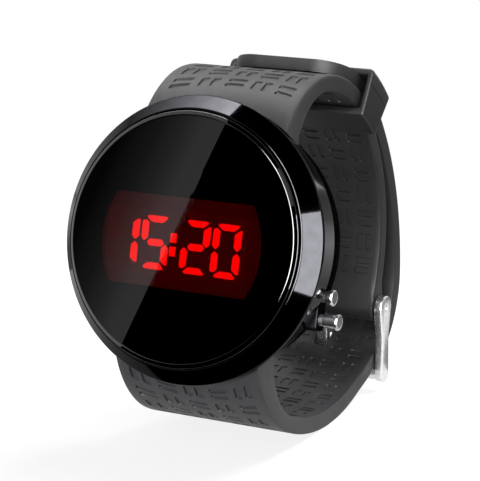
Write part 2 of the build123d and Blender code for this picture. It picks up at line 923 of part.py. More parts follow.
def buckle_eye():
    """Thickened end of the upper strap, where it wraps the buckle's bar."""
    start = buckle_angle + eye_ramp_angle
    inner = on_circle(loop_centre, loop_radius, start)
    outer = on_circle(loop_centre, outer_radius, start)
    apart = hypot(outer[0] - buckle_bar[0], outer[1] - buckle_bar[1])
    touch_angle = angle_of(buckle_bar, outer) - degrees(acos(eye_radius / apart))
    touch = on_circle(buckle_bar, eye_radius, touch_angle)
    strap_foot = on_circle(loop_centre, loop_radius, buckle_angle)
    ramp = Polygon(inner, outer, touch, buckle_bar, strap_foot, align=None)
    half = strap_half_width
    return side_plate(disc(buckle_bar, eye_radius), -half, half) + side_plate(ramp, -half, half)


def make_upper_strap():
    """The 12 o'clock half: thick root on the case, over the top and down to the buckle's bar."""
    slope_end = 90 + upper_slope
    slope_foot = on_circle(upper_shoulder, upper_shoulder_radius, slope_end)
    rise = (slope_foot[0] - strap_front) * sin(radians(upper_slope)) / cos(radians(upper_slope))
    front_top = (strap_front, slope_foot[1] - rise)
    corner_end = upper_corner_angle + end_turn
    profile = closed_face([
        arc(loop_centre, loop_radius, buckle_angle, upper_corner_angle),
        arc(upper_corner, upper_corner_radius, upper_corner_angle, corner_end),
        Line(on_circle(upper_corner, upper_corner_radius, corner_end), (band_depth, strap_root_height)),
        Line((band_depth, strap_root_height), (strap_front, strap_root_height)),
        Line((strap_front, strap_root_height), front_top),
        arc(upper_shoulder, upper_shoulder_radius, slope_end, upper_shoulder_angle),
        arc(loop_centre, outer_radius, upper_shoulder_angle, buckle_angle),
    ])
    strap = side_plate(profile, -strap_half_width, strap_half_width) + buckle_eye()
    strap = strap & plan_prism(1)
    strap -= strap_root_cuts(1)
    strap -= side_plate(disc(buckle_bar, bar_radius + bar_gap), -strap_half_width, strap_half_width)
    notch = tongue_width / 2 + tongue_gap
    notch_centre = on_circle(buckle_bar, eye_radius, buckle_angle - 90)
    notch_sketch = disc(buckle_bar, tongue_knuckle_radius + tongue_gap)
    notch_sketch += disc(notch_centre, tongue_knuckle_radius + tongue_gap + eye_radius / 2)
    return strap - side_plate(make_hull(notch_sketch.edges()), -notch, notch)


def tail_place(distance):
    """Point and heading of the tail's middle line, at a distance from the buckle's bend start."""
    for centre, inner_radius, start, end in tail_arcs[1:]:
        radius = inner_radius + strap_thickness / 2
        length = radius * radians(end - start)
        if distance <= length or centre == loop_centre:
            angle = start + degrees(distance / radius)
            return on_circle(centre, radius, angle), angle + 90
        distance -= length


def hole_cut(point, heading):
    """Rounded slot through the strap, long side along the strap."""
    flat = Plane(
        origin=(0, point[0], point[1]),
        x_dir=(0, cos(radians(heading)), sin(radians(heading))),
        z_dir=(0, -sin(radians(heading)), cos(radians(heading))),
    )
    slot = RectangleRounded(hole_length, hole_width, hole_end_radius)
    return extrude(flat * slot, amount=strap_thickness, both=True)


def pin_hole_distance():
    """Distance along the tail's bend at which the tongue crosses the strap."""
    middle_radius_of_bend = buckle_bend_radius + strap_thickness / 2
    heading = tongue_heading()
    step = (cos(radians(heading)), sin(radians(heading)))
    start = (buckle_bar[0] - bend_centre[0], buckle_bar[1] - bend_centre[1])
    along = start[0] * step[0] + start[1] * step[1]
    reach = sqrt(along**2 + middle_radius_of_bend**2 - start[0] ** 2 - start[1] ** 2) - along
    crossing = (buckle_bar[0] + reach * step[0], buckle_bar[1] + reach * step[1])
    return radians(angle_of(bend_centre, crossing) - bend_start_angle) * middle_radius_of_bend


def tongue_heading():
    """Direction of the tongue from the bar to the crossbar's outer side, in degrees."""
    lift = crossbar_radius + tongue_rest_gap + tongue_thickness / 2
    return angle_of(buckle_bar, crossbar) + degrees(asin(lift / buckle_length))


def make_lower_strap():
    """The 6 o'clock half: thick root, under the wrist, through the buckle and up to its free tip."""
    slope_end = -90 - lower_slope
    slope_foot = on_circle(lower_shoulder, lower_shoulder_radius, slope_end)
    rise = (slope_foot[0] - strap_front) * sin(radians(lower_slope)) / cos(radians(lower_slope))
    front_bottom = (strap_front, slope_foot[1] + rise)
    corner_end = lower_corner_angle - end_turn
    outer_edges = [arc(c, r + strap_thickness, start, end) for c, r, start, end in tail_arcs]
    inner_edges = [arc(c, r, end, start) for c, r, start, end in reversed(tail_arcs)]
    corner_foot = on_circle(lower_corner, lower_corner_radius, corner_end)
    profile = closed_face([
        Line((strap_front, -strap_root_height), front_bottom),
        arc(lower_shoulder, lower_shoulder_radius, slope_end, lower_corner_angle),
        *outer_edges,
        *inner_edges,
        arc(lower_corner, lower_corner_radius, lower_corner_angle, corner_end),
        Line(corner_foot, (band_depth, -strap_root_height)),
    ])
    strap = side_plate(profile, -strap_half_width, strap_half_width)
    strap = strap & plan_prism(-1)
    strap -= strap_root_cuts(-1)
    first = pin_hole_distance() + pin_hole_shift
    for i in range(hole_count):
        strap -= hole_cut(*tail_place(first + i * hole_pitch))
    return strap - tip_trim()


def tip_trim():
    """Waste round the rounded corners of the tail's tip."""
    tip = on_circle(loop_centre, tail_radius + strap_thickness / 2, tail_tip_angle)
    low_z = tip[1] - strap_thickness * 2
    zone_centre_y = tip[0] + tail_corner_radius / 2 - overrun / 2
    zone = Pos(0, zone_centre_y) * Rectangle(2 * strap_half_width, tail_corner_radius + overrun)
    kept = Pos(0, tip[0] + tail_corner_radius * 3 / 2) * RectangleRounded(
        2 * buckle_half_width, tail_corner_radius * 3, tail_corner_radius
    )
    return Pos(0, 0, low_z) * extrude(zone - kept, amount=strap_thickness * 4)


# Buckle and spring bars
def make_buckle_frame():
    """Polished frame: two side plates with bar holes, joined by the crossbar."""
    inner_x = buckle_half_width + buckle_side_gap
    outer_x = inner_x + buckle_plate
    waist = [a + buckle_waist_share * (b - a) for a, b in zip(buckle_bar, crossbar)]
    upper = make_hull((disc(buckle_bar, buckle_eye_radius) + disc(waist, buckle_waist_radius)).edges())
    foot = make_hull((disc(waist, buckle_waist_radius) + disc(crossbar, buckle_foot_radius)).edges())
    plate = side_plate(upper + foot, inner_x, outer_x)
    plate = chamfer(plate.faces().sort_by(Axis.X)[-1].edges(), buckle_edge)
    plate -= side_plate(disc(buckle_bar, pin_radius + pin_fit), inner_x, outer_x)
    bar = side_plate(disc(crossbar, crossbar_radius), -inner_x - buckle_edge, inner_x + buckle_edge)
    return plate + mirror(plate, Plane.YZ) + bar


def make_buckle_tongue():
    """Tongue that turns on the bar and rests on the crossbar."""
    heading = tongue_heading()
    length = buckle_length + tongue_overhang
    middle = on_circle(buckle_bar, length / 2, heading)
    blade = Pos(*middle) * Rot(0, 0, heading) * Rectangle(length, tongue_thickness)
    tip = disc(on_circle(buckle_bar, length, heading), tongue_thickness / 2)
    knuckle = disc(buckle_bar, tongue_knuckle_radius)
    sketch = blade + tip + knuckle - disc(buckle_bar, bar_radius + bar_gap)
    tongue = side_plate(sketch, -tongue_width / 2, tongue_width / 2)
    return tongue


def make_bar_tube(centre, half_length):
    """Spring bar tube, with a lip at each end that holds its plungers."""
    inner = half_length - bar_lip
    tube = turned_along_x(
        [(-half_length, 0), (-half_length, bar_radius), (half_length, bar_radius), (half_length, 0)], *centre
    )
    bore = bar_bore_radius
    tube -= turned_along_x([(-inner, 0), (-inner, bore), (inner, bore), (inner, 0)], *centre)
    through = half_length + overrun
    lip = bar_lip_radius
    return tube - turned_along_x([(-through, 0), (-through, lip), (through, lip), (through, 0)], *centre)


def make_bar_pin(centre, half_length, reach, side):
    """Sprung pin of a spring bar: a plunger inside the tube and a thin nose into the lug."""
    shoulder = half_length - bar_lip - bar_gap
    plunger_radius = bar_bore_radius - bar_gap
    start = shoulder - plunger_length
    points = [(start, 0), (start, plunger_radius), (shoulder, plunger_radius)]
    points += [(shoulder, pin_radius), (reach, pin_radius), (reach, 0)]
    return turned_along_x([(side * x, r) for x, r in points], *centre)


def make_bar_spring(centre, half_length, travel):
    """Spring between the two plungers, drawn as a sleeve of its pressed length."""
    half = half_length - bar_lip - bar_gap - plunger_length - travel - bar_end_room
    outer = bar_spring_radius
    inner = outer - bar_spring_wall
    return turned_along_x([(-half, inner), (-half, outer), (half, outer), (half, inner)], *centre)


def make_keeper():
    """Loop that slides along both strap layers, with bevelled outer edges."""
    turn = degrees(keeper_length / (2 * tail_radius))
    low = keeper_angle - turn
    high = keeper_angle + turn
    room_inner = loop_radius - keeper_gap
    room_outer = tail_radius + strap_thickness + keeper_gap
    inner = room_inner - keeper_wall
    outer = room_outer + keeper_wall
    shell = closed_face([arc(loop_centre, outer, low, high), arc(loop_centre, inner, high, low)])
    start = low - keeper_reach_angle
    end = high + keeper_reach_angle
    room = closed_face([arc(loop_centre, room_outer, start, end), arc(loop_centre, room_inner, end, start)])
    room_half = keeper_room_half_width()
    half = room_half + keeper_wall
    solid = side_plate(shell, -half, half)
    outer_edges = solid.edges().filter_by(GeomType.CIRCLE).filter_by(
        lambda edge: edge.radius > (inner + outer) / 2
    )
    solid = chamfer(outer_edges, keeper_bevel)
    return solid - side_plate(room, -room_half, room_half)


def keeper_room_half_width():
    """Half width inside the keeper: the strap's at the near end of its travel, and a gap."""
    turn = degrees(keeper_length / (2 * tail_radius))
    y, z = on_circle(loop_centre, loop_radius, keeper_angle + turn + keeper_reach_angle)
    fallen = (y - z) / sqrt(2)
    share = min(max((fallen - taper_start) / taper_length, 0), 1)
    return strap_half_width - share * (strap_half_width - buckle_half_width) + keeper_side_gap


lug_bar_half = lug_inner_x - bar_side_gap
lug_pin_end = lug_inner_x + lug_pin_reach
lug_pin_travel = lug_pin_reach + bar_side_gap
buckle_bar_half = buckle_half_width + buckle_side_gap - bar_side_gap
buckle_pin_end = buckle_half_width + buckle_side_gap + buckle_plate - buckle_pin_inset
buckle_pin_travel = buckle_plate

parts = {
    "bezel": make_bezel(),
    "crystal": make_crystal(),
    "crystal_gasket": make_crystal_gasket(),
    "crystal_mask": make_crystal_mask(),
    "window_filter": make_window_filter(),
    "lit_segments": make_lit_segments(),
    "dark_segments": make_dark_segments(),
    "display_body": make_display_body(),
    "middle_case": make_middle_case(),
    "case_back": make_case_back(),
    "case_back_gasket": make_back_gasket(),
    "case_screws": make_case_screws(),
    "movement_holder": make_movement_holder(),
    "circuit_board": make_circuit_board(),
    "controller_chip": make_controller_chip(),
    "timing_crystal": make_timing_crystal(),
    "chip_parts": make_chip_parts(),
    "touch_spring": make_touch_spring(),
    "battery": make_battery(),
    "battery_ring": make_cell_ring(),
    "battery_positive_clip": make_positive_clip(),
    "battery_negative_contact": make_negative_contact(),
    "switch_leaves": make_switch_leaves(),
    "button_seals": make_button_seals(),
    "upper_strap": make_upper_strap(),
    "lower_strap": make_lower_strap(),
    "keeper": make_keeper(),
    "buckle_frame": make_buckle_frame(),
    "buckle_tongue": make_buckle_tongue(),
}
for index, name in enumerate(("upper_button", "lower_button")):
    parts[name] = make_button(index)
    parts[name + "_spring"] = make_button_spring(index)
    parts[name + "_retainer"] = make_button_retainer(index)

spring_bars = {
    "upper_bar": (lug_bars[0], lug_bar_half, lug_pin_end, lug_pin_travel),
    "lower_bar": (lug_bars[1], lug_bar_half, lug_pin_end, lug_pin_travel),
    "buckle_bar": (buckle_bar, buckle_bar_half, buckle_pin_end, buckle_pin_travel),
}
for name, (centre, half_length, reach, travel) in spring_bars.items():
    parts[name + "_tube"] = make_bar_tube(centre, half_length)
    parts[name + "_spring"] = make_bar_spring(centre, half_length, travel)
    parts[name + "_left_pin"] = make_bar_pin(centre, half_length, reach, -1)
    parts[name + "_right_pin"] = make_bar_pin(centre, half_length, reach, 1)

# Stand the watch up: lean it back, then put the middle of its footprint on the origin
leaned = {name: Rot(-lean_angle, 0, 0) * part for name, part in parts.items()}
boxes = [part.bounding_box() for part in leaned.values()]
shift = (
    -(min(box.min.X for box in boxes) + max(box.max.X for box in boxes)) / 2,
    -(min(box.min.Y for box in boxes) + max(box.max.Y for box in boxes)) / 2,
    -min(box.min.Z for box in boxes),
)
os.makedirs("parts", exist_ok=True)
for name, part in leaned.items():
    export_step(Pos(*shift) * part, f"parts/{name}.step")

place = Pos(*shift) * Rot(-lean_angle, 0, 0)
marks = {
    "rim centre": (0, 0, 0),
    "back face centre": (0, back_face - back_panel_depth, 0),
    "crystal face centre": (0, front, 0),
    "loop centre": (0, *loop_centre),
    "buckle bar": (0, *buckle_bar),
    "crossbar": (0, *crossbar),
    "tongue crossing heading": (0, *on_circle(buckle_bar, buckle_length, tongue_heading())),
}
for name, point in marks.items():
    spot = (place * Pos(*point)).position
    print(f"{name}: {spot.X:.3f} {spot.Y:.3f} {spot.Z:.3f}")
for name, (centre, half_length, reach, travel) in spring_bars.items():
    spot = (place * Pos(0, *centre)).position
    print(f"{name} centre: {spot.Y:.3f} {spot.Z:.3f} travel {travel:.3f}")
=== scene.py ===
# %% [markdown]
# # A round touch watch on its strap
# The watch is a glass disc in a black bezel, with red digits behind the glass and a soft strap
# that is closed in a loop. Its CAD model already fixes where every piece sits and how it moves.
# This lesson dresses that model: it makes finer pieces where the light shows them, and paints all.

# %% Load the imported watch
import json
import math
import bmesh
import bpy
from mathutils import Matrix, Vector

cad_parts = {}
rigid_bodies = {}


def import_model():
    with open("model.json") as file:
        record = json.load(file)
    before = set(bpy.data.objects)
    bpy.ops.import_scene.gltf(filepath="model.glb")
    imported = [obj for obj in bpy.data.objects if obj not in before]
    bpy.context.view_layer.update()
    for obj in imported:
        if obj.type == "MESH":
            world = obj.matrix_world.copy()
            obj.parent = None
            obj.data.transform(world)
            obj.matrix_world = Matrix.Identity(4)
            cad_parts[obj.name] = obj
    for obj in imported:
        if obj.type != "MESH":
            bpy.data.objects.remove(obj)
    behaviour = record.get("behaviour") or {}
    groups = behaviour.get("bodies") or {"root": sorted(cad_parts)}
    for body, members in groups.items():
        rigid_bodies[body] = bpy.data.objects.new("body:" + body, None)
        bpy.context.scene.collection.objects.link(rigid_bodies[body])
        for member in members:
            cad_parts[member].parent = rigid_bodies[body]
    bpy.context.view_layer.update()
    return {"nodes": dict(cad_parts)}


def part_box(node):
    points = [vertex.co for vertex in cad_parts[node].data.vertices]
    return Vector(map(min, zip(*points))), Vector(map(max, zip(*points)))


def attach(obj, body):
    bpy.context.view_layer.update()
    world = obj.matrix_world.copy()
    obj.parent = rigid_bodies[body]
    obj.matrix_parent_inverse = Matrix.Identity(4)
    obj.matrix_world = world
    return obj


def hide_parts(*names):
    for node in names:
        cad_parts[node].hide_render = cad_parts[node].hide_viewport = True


for leftover in list(bpy.data.objects):
    bpy.data.objects.remove(leftover)
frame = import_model()
nodes = frame["nodes"]

# %% [markdown]
# ## Where the case sits
# The watch leans back on its strap, so it is easier to draw in the case's own frame: X points to
# 3 o'clock, Y into the case and Z to 12 o'clock, in millimetres from the middle of the rim.
# One matrix then takes a finished piece to its place on the floor, in metres.

# %% The case's frame
MM = 0.001
LEAN = math.radians(13.86)
RIM_CENTRE = Vector((0.0, -22.667, 33.527))
case_place = Matrix.Scale(MM, 4) @ Matrix.Translation(RIM_CENTRE) @ Matrix.Rotation(-LEAN, 4, "X")
glass_faces = (case_place.to_3x3() @ Vector((0.0, -1.0, 0.0))).normalized()
print("glass faces", [round(value, 3) for value in glass_faces])

# %% [markdown]
# ## A way to write finishes
# A finish is a network of nodes. Written out link by link it is long and hard to read, so one small
# class wraps a socket and lets ordinary sums make the Math nodes, and another adds any other node.
# Noise is sized in millimetres here, because that is how a maker thinks of grain.


# %% Sockets that can be added and multiplied
class Wire:
    """One output socket of a network of nodes. Sums on it add Math nodes."""

    def __init__(self, network, socket):
        self.network = network
        self.socket = socket

    def sum_node(self, operation, *terms):
        return self.network.node("ShaderNodeMath", {"operation": operation}, dict(enumerate(terms)))

    def __add__(self, other):
        return self.sum_node("ADD", self, other)

    def __sub__(self, other):
        return self.sum_node("SUBTRACT", self, other)

    def __rsub__(self, other):
        return self.sum_node("SUBTRACT", other, self)

    def __mul__(self, other):
        return self.sum_node("MULTIPLY", self, other)

    def __pow__(self, other):
        return self.sum_node("POWER", self, other)

    def __rpow__(self, other):
        return self.sum_node("POWER", other, self)

    __radd__ = __add__
    __rmul__ = __mul__

    def over(self, edge):
        return self.sum_node("GREATER_THAN", self, edge)

    def output(self, name):
        return Wire(self.network, self.socket.node.outputs[name])


# %% A network of nodes
WHITE = (1.0, 1.0, 1.0, 1.0)


class Network:
    """A tree of shader nodes, with one method that adds any node."""

    def __init__(self, tree):
        self.tree = tree
        tree.nodes.clear()

    def node(self, kind, settings=None, sockets=None, output=0):
        made = self.tree.nodes.new(kind)
        for name, value in (settings or {}).items():
            if name == "stops":
                elements = made.color_ramp.elements
                while len(elements) < len(value):
                    elements.new(1.0)
                for element, (position, colour) in zip(elements, value):
                    element.position = position
                    element.color = colour
            else:
                setattr(made, name, value)
        for name, value in (sockets or {}).items():
            if isinstance(value, Wire):
                self.tree.links.new(value.socket, made.inputs[name])
            else:
                made.inputs[name].default_value = value
        return Wire(self, made.outputs[output])

    def axes(self, place):
        """The three coordinates of a point."""
        parts = self.node("ShaderNodeSeparateXYZ", {}, {0: place})
        return [parts.output(name) for name in "XYZ"]

    def seen(self):
        """Nought but for rays from the camera, off a mirror or through glass."""
        path = self.node("ShaderNodeLightPath", output="Is Camera Ray")
        return path + path.output("Is Glossy Ray") + path.output("Is Transmission Ray")

    def close(self, surface, kind):
        """Ends the network in an output of a kind."""
        out = self.tree.nodes.new(kind)
        self.tree.links.new(surface.socket, out.inputs["Surface"])


# %% A finish under construction
class Finish(Network):
    """A material, painted over the piece's own Object coordinates."""

    def __init__(self, name):
        self.material = bpy.data.materials.new(name)
        self.material.use_nodes = True
        super().__init__(self.material.node_tree)
        self.place = self.node("ShaderNodeTexCoord", output="Object")

    def grain(self, size, detail=3.0, stretch=(1.0, 1.0, 1.0)):
        """Noise whose grains are about size millimetres across, drawn out by stretch."""
        scale = [1.0 / (size * MM * share) for share in stretch]
        place = self.node("ShaderNodeMapping", {}, {"Vector": self.place, "Scale": scale})
        return self.node("ShaderNodeTexNoise", {}, {"Vector": place, "Scale": 1.0, "Detail": detail})

    def case_axes(self):
        """Coordinates in the case's own frame, in millimetres."""
        sockets = {"Vector": self.place, "Location": RIM_CENTRE * MM}
        sockets |= {"Rotation": (-LEAN, 0.0, 0.0), "Scale": (MM, MM, MM)}
        return self.axes(self.node("ShaderNodeMapping", {"vector_type": "TEXTURE"}, sockets))

    def shades(self, factor, dark, light):
        """Colour that goes from dark to light with a factor."""
        sockets = {0: factor, 6: (*dark, 1.0), 7: (*light, 1.0)}
        return self.node("ShaderNodeMix", {"data_type": "RGBA", "clamp_factor": True}, sockets, 2)

    def bump(self, height, depth):
        """Normals of a relief of that depth in millimetres."""
        sockets = {"Height": height, "Distance": depth * MM, "Strength": 1.0}
        return self.node("ShaderNodeBump", {}, sockets)

    def closed(self, surface):
        """Ends the finish in a shader and returns the material."""
        self.close(surface, "ShaderNodeOutputMaterial")
        return self.material

    def done(self, **sockets):
        """Ends the finish in the usual surface shader and returns the material."""
        named = {name.replace("_", " "): value for name, value in sockets.items()}
        return self.closed(self.node("ShaderNodeBsdfPrincipled", {}, named))


def hypotenuse(one, other):
    """Length of a step made of two moves at right angles."""
    return (one * one + other * other) ** 0.5


print("finishes are written with", [name for name in dir(Finish) if not name.startswith("_")])

# %% [markdown]
# ## The black metals
# The bezel is polished steel with a black plated skin: it mirrors the studio, but gives back only a
# few hundredths of it. Fine turning lines run round it, so the relief comes from noise read on the
# distance to the case axis alone. The inner case is the same metal left brushed, so it is rougher.


# %% Plated case finishes
def plated(name, dark, light, roughness, line_width, line_depth, grazing):
    finish = Finish(name)
    across, deep, up = finish.case_axes()
    ring = finish.node("ShaderNodeCombineXYZ", {}, {"X": hypotenuse(across, up), "Y": deep})
    turning = {"Vector": ring, "Scale": 1.0 / line_width, "Detail": 2.0}
    lines = finish.node("ShaderNodeTexNoise", {}, turning)
    wear = finish.grain(1.4, 4.0)
    return finish.done(
        Base_Color=finish.shades(wear, dark, light),
        Metallic=1.0,
        Roughness=roughness + wear * 0.05,
        Specular_Tint=(grazing, grazing, grazing, 1.0),
        Normal=finish.bump(lines, line_depth),
    )


black_polish = plated(
    "black_polish", (0.012, 0.012, 0.013), (0.019, 0.019, 0.021),
    roughness=0.035, line_width=0.12, line_depth=0.0002, grazing=0.5,
)
black_brushed = plated(
    "black_brushed", (0.008, 0.008, 0.009), (0.016, 0.016, 0.018),
    roughness=0.3, line_width=0.06, line_depth=0.003, grazing=0.15,
)
print("plated finishes", black_polish.name, black_brushed.name)

# %% [markdown]
# ## The bright metals
# Steel for the buckle, pins and screws is drawn out along one direction by the brush. Stretching the
# noise fourteen times along that direction gives the brush lines, which vary roughness and relief.


# %% Brushed and plain steels
def brushed(name, dark, light, roughness, stretch, depth=0.004):
    finish = Finish(name)
    strokes = finish.grain(0.12, 3.0, stretch)
    wear = finish.grain(1.1, 4.0)
    return finish.done(
        Base_Color=finish.shades(wear, dark, light),
        Metallic=1.0,
        Roughness=roughness + strokes * 0.16,
        Normal=finish.bump(strokes, depth),
    )


ALONG_X = (14.0, 1.0, 1.0)
ALONG_Z = (1.0, 1.0, 14.0)
buckle_brushed = brushed("buckle_brushed", (0.60, 0.60, 0.61), (0.78, 0.78, 0.78), 0.18, ALONG_Z)
button_bright = brushed("button_bright", (0.30, 0.30, 0.31), (0.46, 0.46, 0.46), 0.16, ALONG_X, 0.001)
pin_steel = brushed("pin_steel", (0.45, 0.45, 0.46), (0.62, 0.62, 0.62), 0.25, ALONG_X)
cell_steel = brushed("cell_steel", (0.58, 0.57, 0.55), (0.74, 0.73, 0.70), 0.2, ALONG_X)
contact_gold = brushed("contact_gold", (0.62, 0.42, 0.14), (0.85, 0.62, 0.24), 0.18, ALONG_X)
print("steels", buckle_brushed.name, button_bright.name, pin_steel.name)

# %% [markdown]
# ## Soft and moulded plastics
# The strap is matt silicone. It has almost no shine, a faint bloom where it has been handled and a
# skin finer than a tenth of a millimetre. The moulded plastics inside are the same idea, smoother.


# %% Rubber and plastic finishes
def moulded(name, dark, light, roughness, skin, depth, specular=0.5):
    finish = Finish(name)
    bloom = finish.grain(6.0, 5.0)
    fine = finish.grain(skin, 2.0)
    handled = finish.grain(1.8, 4.0)
    return finish.done(
        Base_Color=finish.shades(bloom * 0.7 + handled * 0.3, dark, light),
        Roughness=roughness + handled * 0.14,
        Specular_IOR_Level=specular,
        Normal=finish.bump(fine + handled * 0.6, depth),
    )


strap_silicone = moulded(
    "strap_silicone", (0.024, 0.024, 0.026), (0.046, 0.046, 0.049), 0.46,
    skin=0.09, depth=0.006, specular=0.22,
)
keeper_silicone = moulded(
    "keeper_silicone", (0.020, 0.020, 0.021), (0.036, 0.036, 0.038), 0.42,
    skin=0.08, depth=0.005, specular=0.22,
)
black_print = moulded(
    "printed_black", (0.0004, 0.0004, 0.0005), (0.0010, 0.0010, 0.0011), 0.7,
    skin=0.05, depth=0.0005, specular=0.0,
)
seal_rubber = moulded("seal_rubber", (0.010, 0.010, 0.011), (0.020, 0.020, 0.021), 0.5, 0.06, 0.004)
black_moulding = moulded(
    "black_moulding", (0.012, 0.012, 0.013), (0.026, 0.026, 0.027), 0.42, skin=0.12, depth=0.004
)
board_green = moulded("board_green", (0.010, 0.060, 0.022), (0.022, 0.110, 0.040), 0.3, 0.3, 0.003)
chip_resin = moulded("chip_resin", (0.014, 0.014, 0.014), (0.028, 0.028, 0.028), 0.5, 0.06, 0.003)
print("plastics", strap_silicone.name, keeper_silicone.name, board_green.name)

# %% [markdown]
# ## Glass, film and light
# The disc is smoked glass, printed black on its back but for a barrel-shaped window. Its colour is
# black over the print, so nothing comes back through it there, and a grey tint in the window. The
# film behind it lets red light pass and has a faint painted red glow. The lit digits are guides that
# glow as lights; the unlit guides and the block round them have a faint painted red glow in place of
# the light the lit digits scatter, which is why the whole window looks dark red.

# %% Glass, film and glowing finishes
WINDOW_MIDDLE = (-0.3, -0.65)
WINDOW_HALF_WIDE, WINDOW_HALF_HIGH, WINDOW_END_ROUND = 13.32, 6.66, 12.68
FILM_PAINTED_GLOW_SHARE = 0.12
UNLIT = (0.016, 0.001, 0.001)


def smoked(name, tint, roughness):
    """Glass with a tint in the barrel-shaped window, and black where its back is printed."""
    finish = Finish(name)
    smear = finish.grain(9.0, 5.0)
    across, _, up = finish.case_axes()
    across, up = across - WINDOW_MIDDLE[0], up - WINDOW_MIDDLE[1]
    along = (across * across) ** 0.5 - (WINDOW_HALF_WIDE - WINDOW_END_ROUND)
    past_ends = hypotenuse(along, up).over(WINDOW_END_ROUND)
    past_sides = (up * up).over(WINDOW_HALF_HIGH**2)
    return finish.done(
        Base_Color=finish.shades(past_ends + past_sides, tint, (0.0, 0.0, 0.0)),
        Roughness=smear * roughness,
        IOR=1.5,
        Transmission_Weight=1.0,
    )


# Emission over a plain base colour: real light on the lit guides, painted glow on unlit guides and the
# block.
def glowing(name, dark, light, strength, base):
    finish = Finish(name)
    cloud = finish.grain(1.6, 3.0)
    return finish.done(
        Base_Color=(*base, 1.0),
        Roughness=0.5,
        Emission_Color=finish.shades(cloud, dark, light),
        Emission_Strength=strength,
    )


def red_film(name):
    """A film that is see-through but for a share of dark red skin whose emission is a painted glow."""
    finish = Finish(name)
    cloud = finish.grain(2.5, 3.0)
    see_through = finish.node("ShaderNodeBsdfTransparent", {}, {0: (1.0, 0.10, 0.10, 1.0)})
    sockets = {
        # The skin's faint emission is a painted glow, in place of light the digits scatter in the film.
        "Base Color": finish.shades(cloud, (0.03, 0.0006, 0.0006), (0.045, 0.001, 0.001)),
        "Roughness": 0.35,
        "Emission Color": finish.shades(cloud, (0.22, 0.003, 0.003), (0.27, 0.004, 0.004)),
        "Emission Strength": 1.0,
    }
    skin = finish.node("ShaderNodeBsdfPrincipled", {}, sockets)
    return finish.closed(finish.node("ShaderNodeMixShader", {}, {0: FILM_PAINTED_GLOW_SHARE, 1: see_through, 2: skin}))


watch_glass = smoked("watch_glass", (0.30, 0.28, 0.28), 0.002)
window_film_painted_glow = red_film("window_film_painted_glow")
lit_guide = glowing("lit_guide", (1.0, 0.10, 0.08), (1.0, 0.16, 0.13), 4.2, (0.05, 0.004, 0.004))
# The unlit guides and the block glow faintly: a painted red glow in place of light scattered from the lit
# digits.
dark_guide_painted_glow = glowing("dark_guide_painted_glow", (0.010, 0.0, 0.0), (0.014, 0.0, 0.0), 1.2, UNLIT)
block_painted_glow = glowing("block_painted_glow", (0.009, 0.0, 0.0), (0.013, 0.0, 0.0), 1.2, UNLIT)
print("glass and light", watch_glass.name, window_film_painted_glow.name, lit_guide.name)

# %% [markdown]
# ## Finishes for the pieces that stay as they are
# Most inner pieces have the right shape in the CAD model. They keep it, and each gets the finish of
# what it is made from; the display block's finish also has a painted red glow. The visible outer
# pieces are replaced further down.

# %% Paint the CAD pieces
cad_finishes = {
    black_brushed: ("middle_case", "case_back", "bezel"),
    black_print: ("crystal_mask",),
    watch_glass: ("crystal",),
    window_film_painted_glow: ("window_filter",),
    lit_guide: ("lit_segments",),
    dark_guide_painted_glow: ("dark_segments",),
    block_painted_glow: ("display_body",),
    black_moulding: ("movement_holder", "battery_ring"),
    seal_rubber: ("crystal_gasket", "case_back_gasket", "button_seals"),
    board_green: ("circuit_board",),
    chip_resin: ("controller_chip", "chip_parts"),
    cell_steel: ("battery", "timing_crystal"),
    contact_gold: ("touch_spring", "battery_negative_contact", "battery_positive_clip", "switch_leaves"),
    strap_silicone: ("upper_strap", "lower_strap"),
    keeper_silicone: ("keeper",),
    buckle_brushed: ("buckle_frame", "buckle_tongue"),
    button_bright: ("upper_button", "lower_button"),
}
painted = {name: finish for finish, names in cad_finishes.items() for name in names}
for name, cad_piece in nodes.items():
    for place in cad_piece.material_slots:
        place.material = painted.get(name, pin_steel)
print("painted", len(nodes), "of them in plain steel", sorted(set(nodes) - set(painted)))

# %% [markdown]
# ## Helpers for every new piece
# Each piece is drawn in case millimetres and then finished the same way: taken to its place, doubles
# merged, faces turned outwards, and edges sharper than a limit kept crisp under smooth shading. The
# printed count of open edges has to be nought, and the volume above nought, or the shell is wrong.
# Where pieces are joined or cut, a Boolean modifier does it on objects made for that alone.

# %% Shells and objects
MERGE = 0.0005


def welded(bm):
    """Merges the doubles of a shell drawn in millimetres, and turns its faces outwards."""
    bmesh.ops.remove_doubles(bm, verts=bm.verts, dist=MERGE)
    bmesh.ops.recalc_face_normals(bm, faces=bm.faces)
    return bm


def object_from(bm, name, *finishes):
    """An object of the scene with the bmesh's shape."""
    mesh = bpy.data.meshes.new(name)
    bm.to_mesh(mesh)
    bm.free()
    for finish in finishes:
        mesh.materials.append(finish)
    made = bpy.data.objects.new(name, mesh)
    bpy.context.scene.collection.objects.link(made)
    return made


print("doubles merge within", MERGE, "mm")

# %% Finish a piece
SHARP = math.radians(32.0)
PLACED_MERGE = 0.0008 * MM


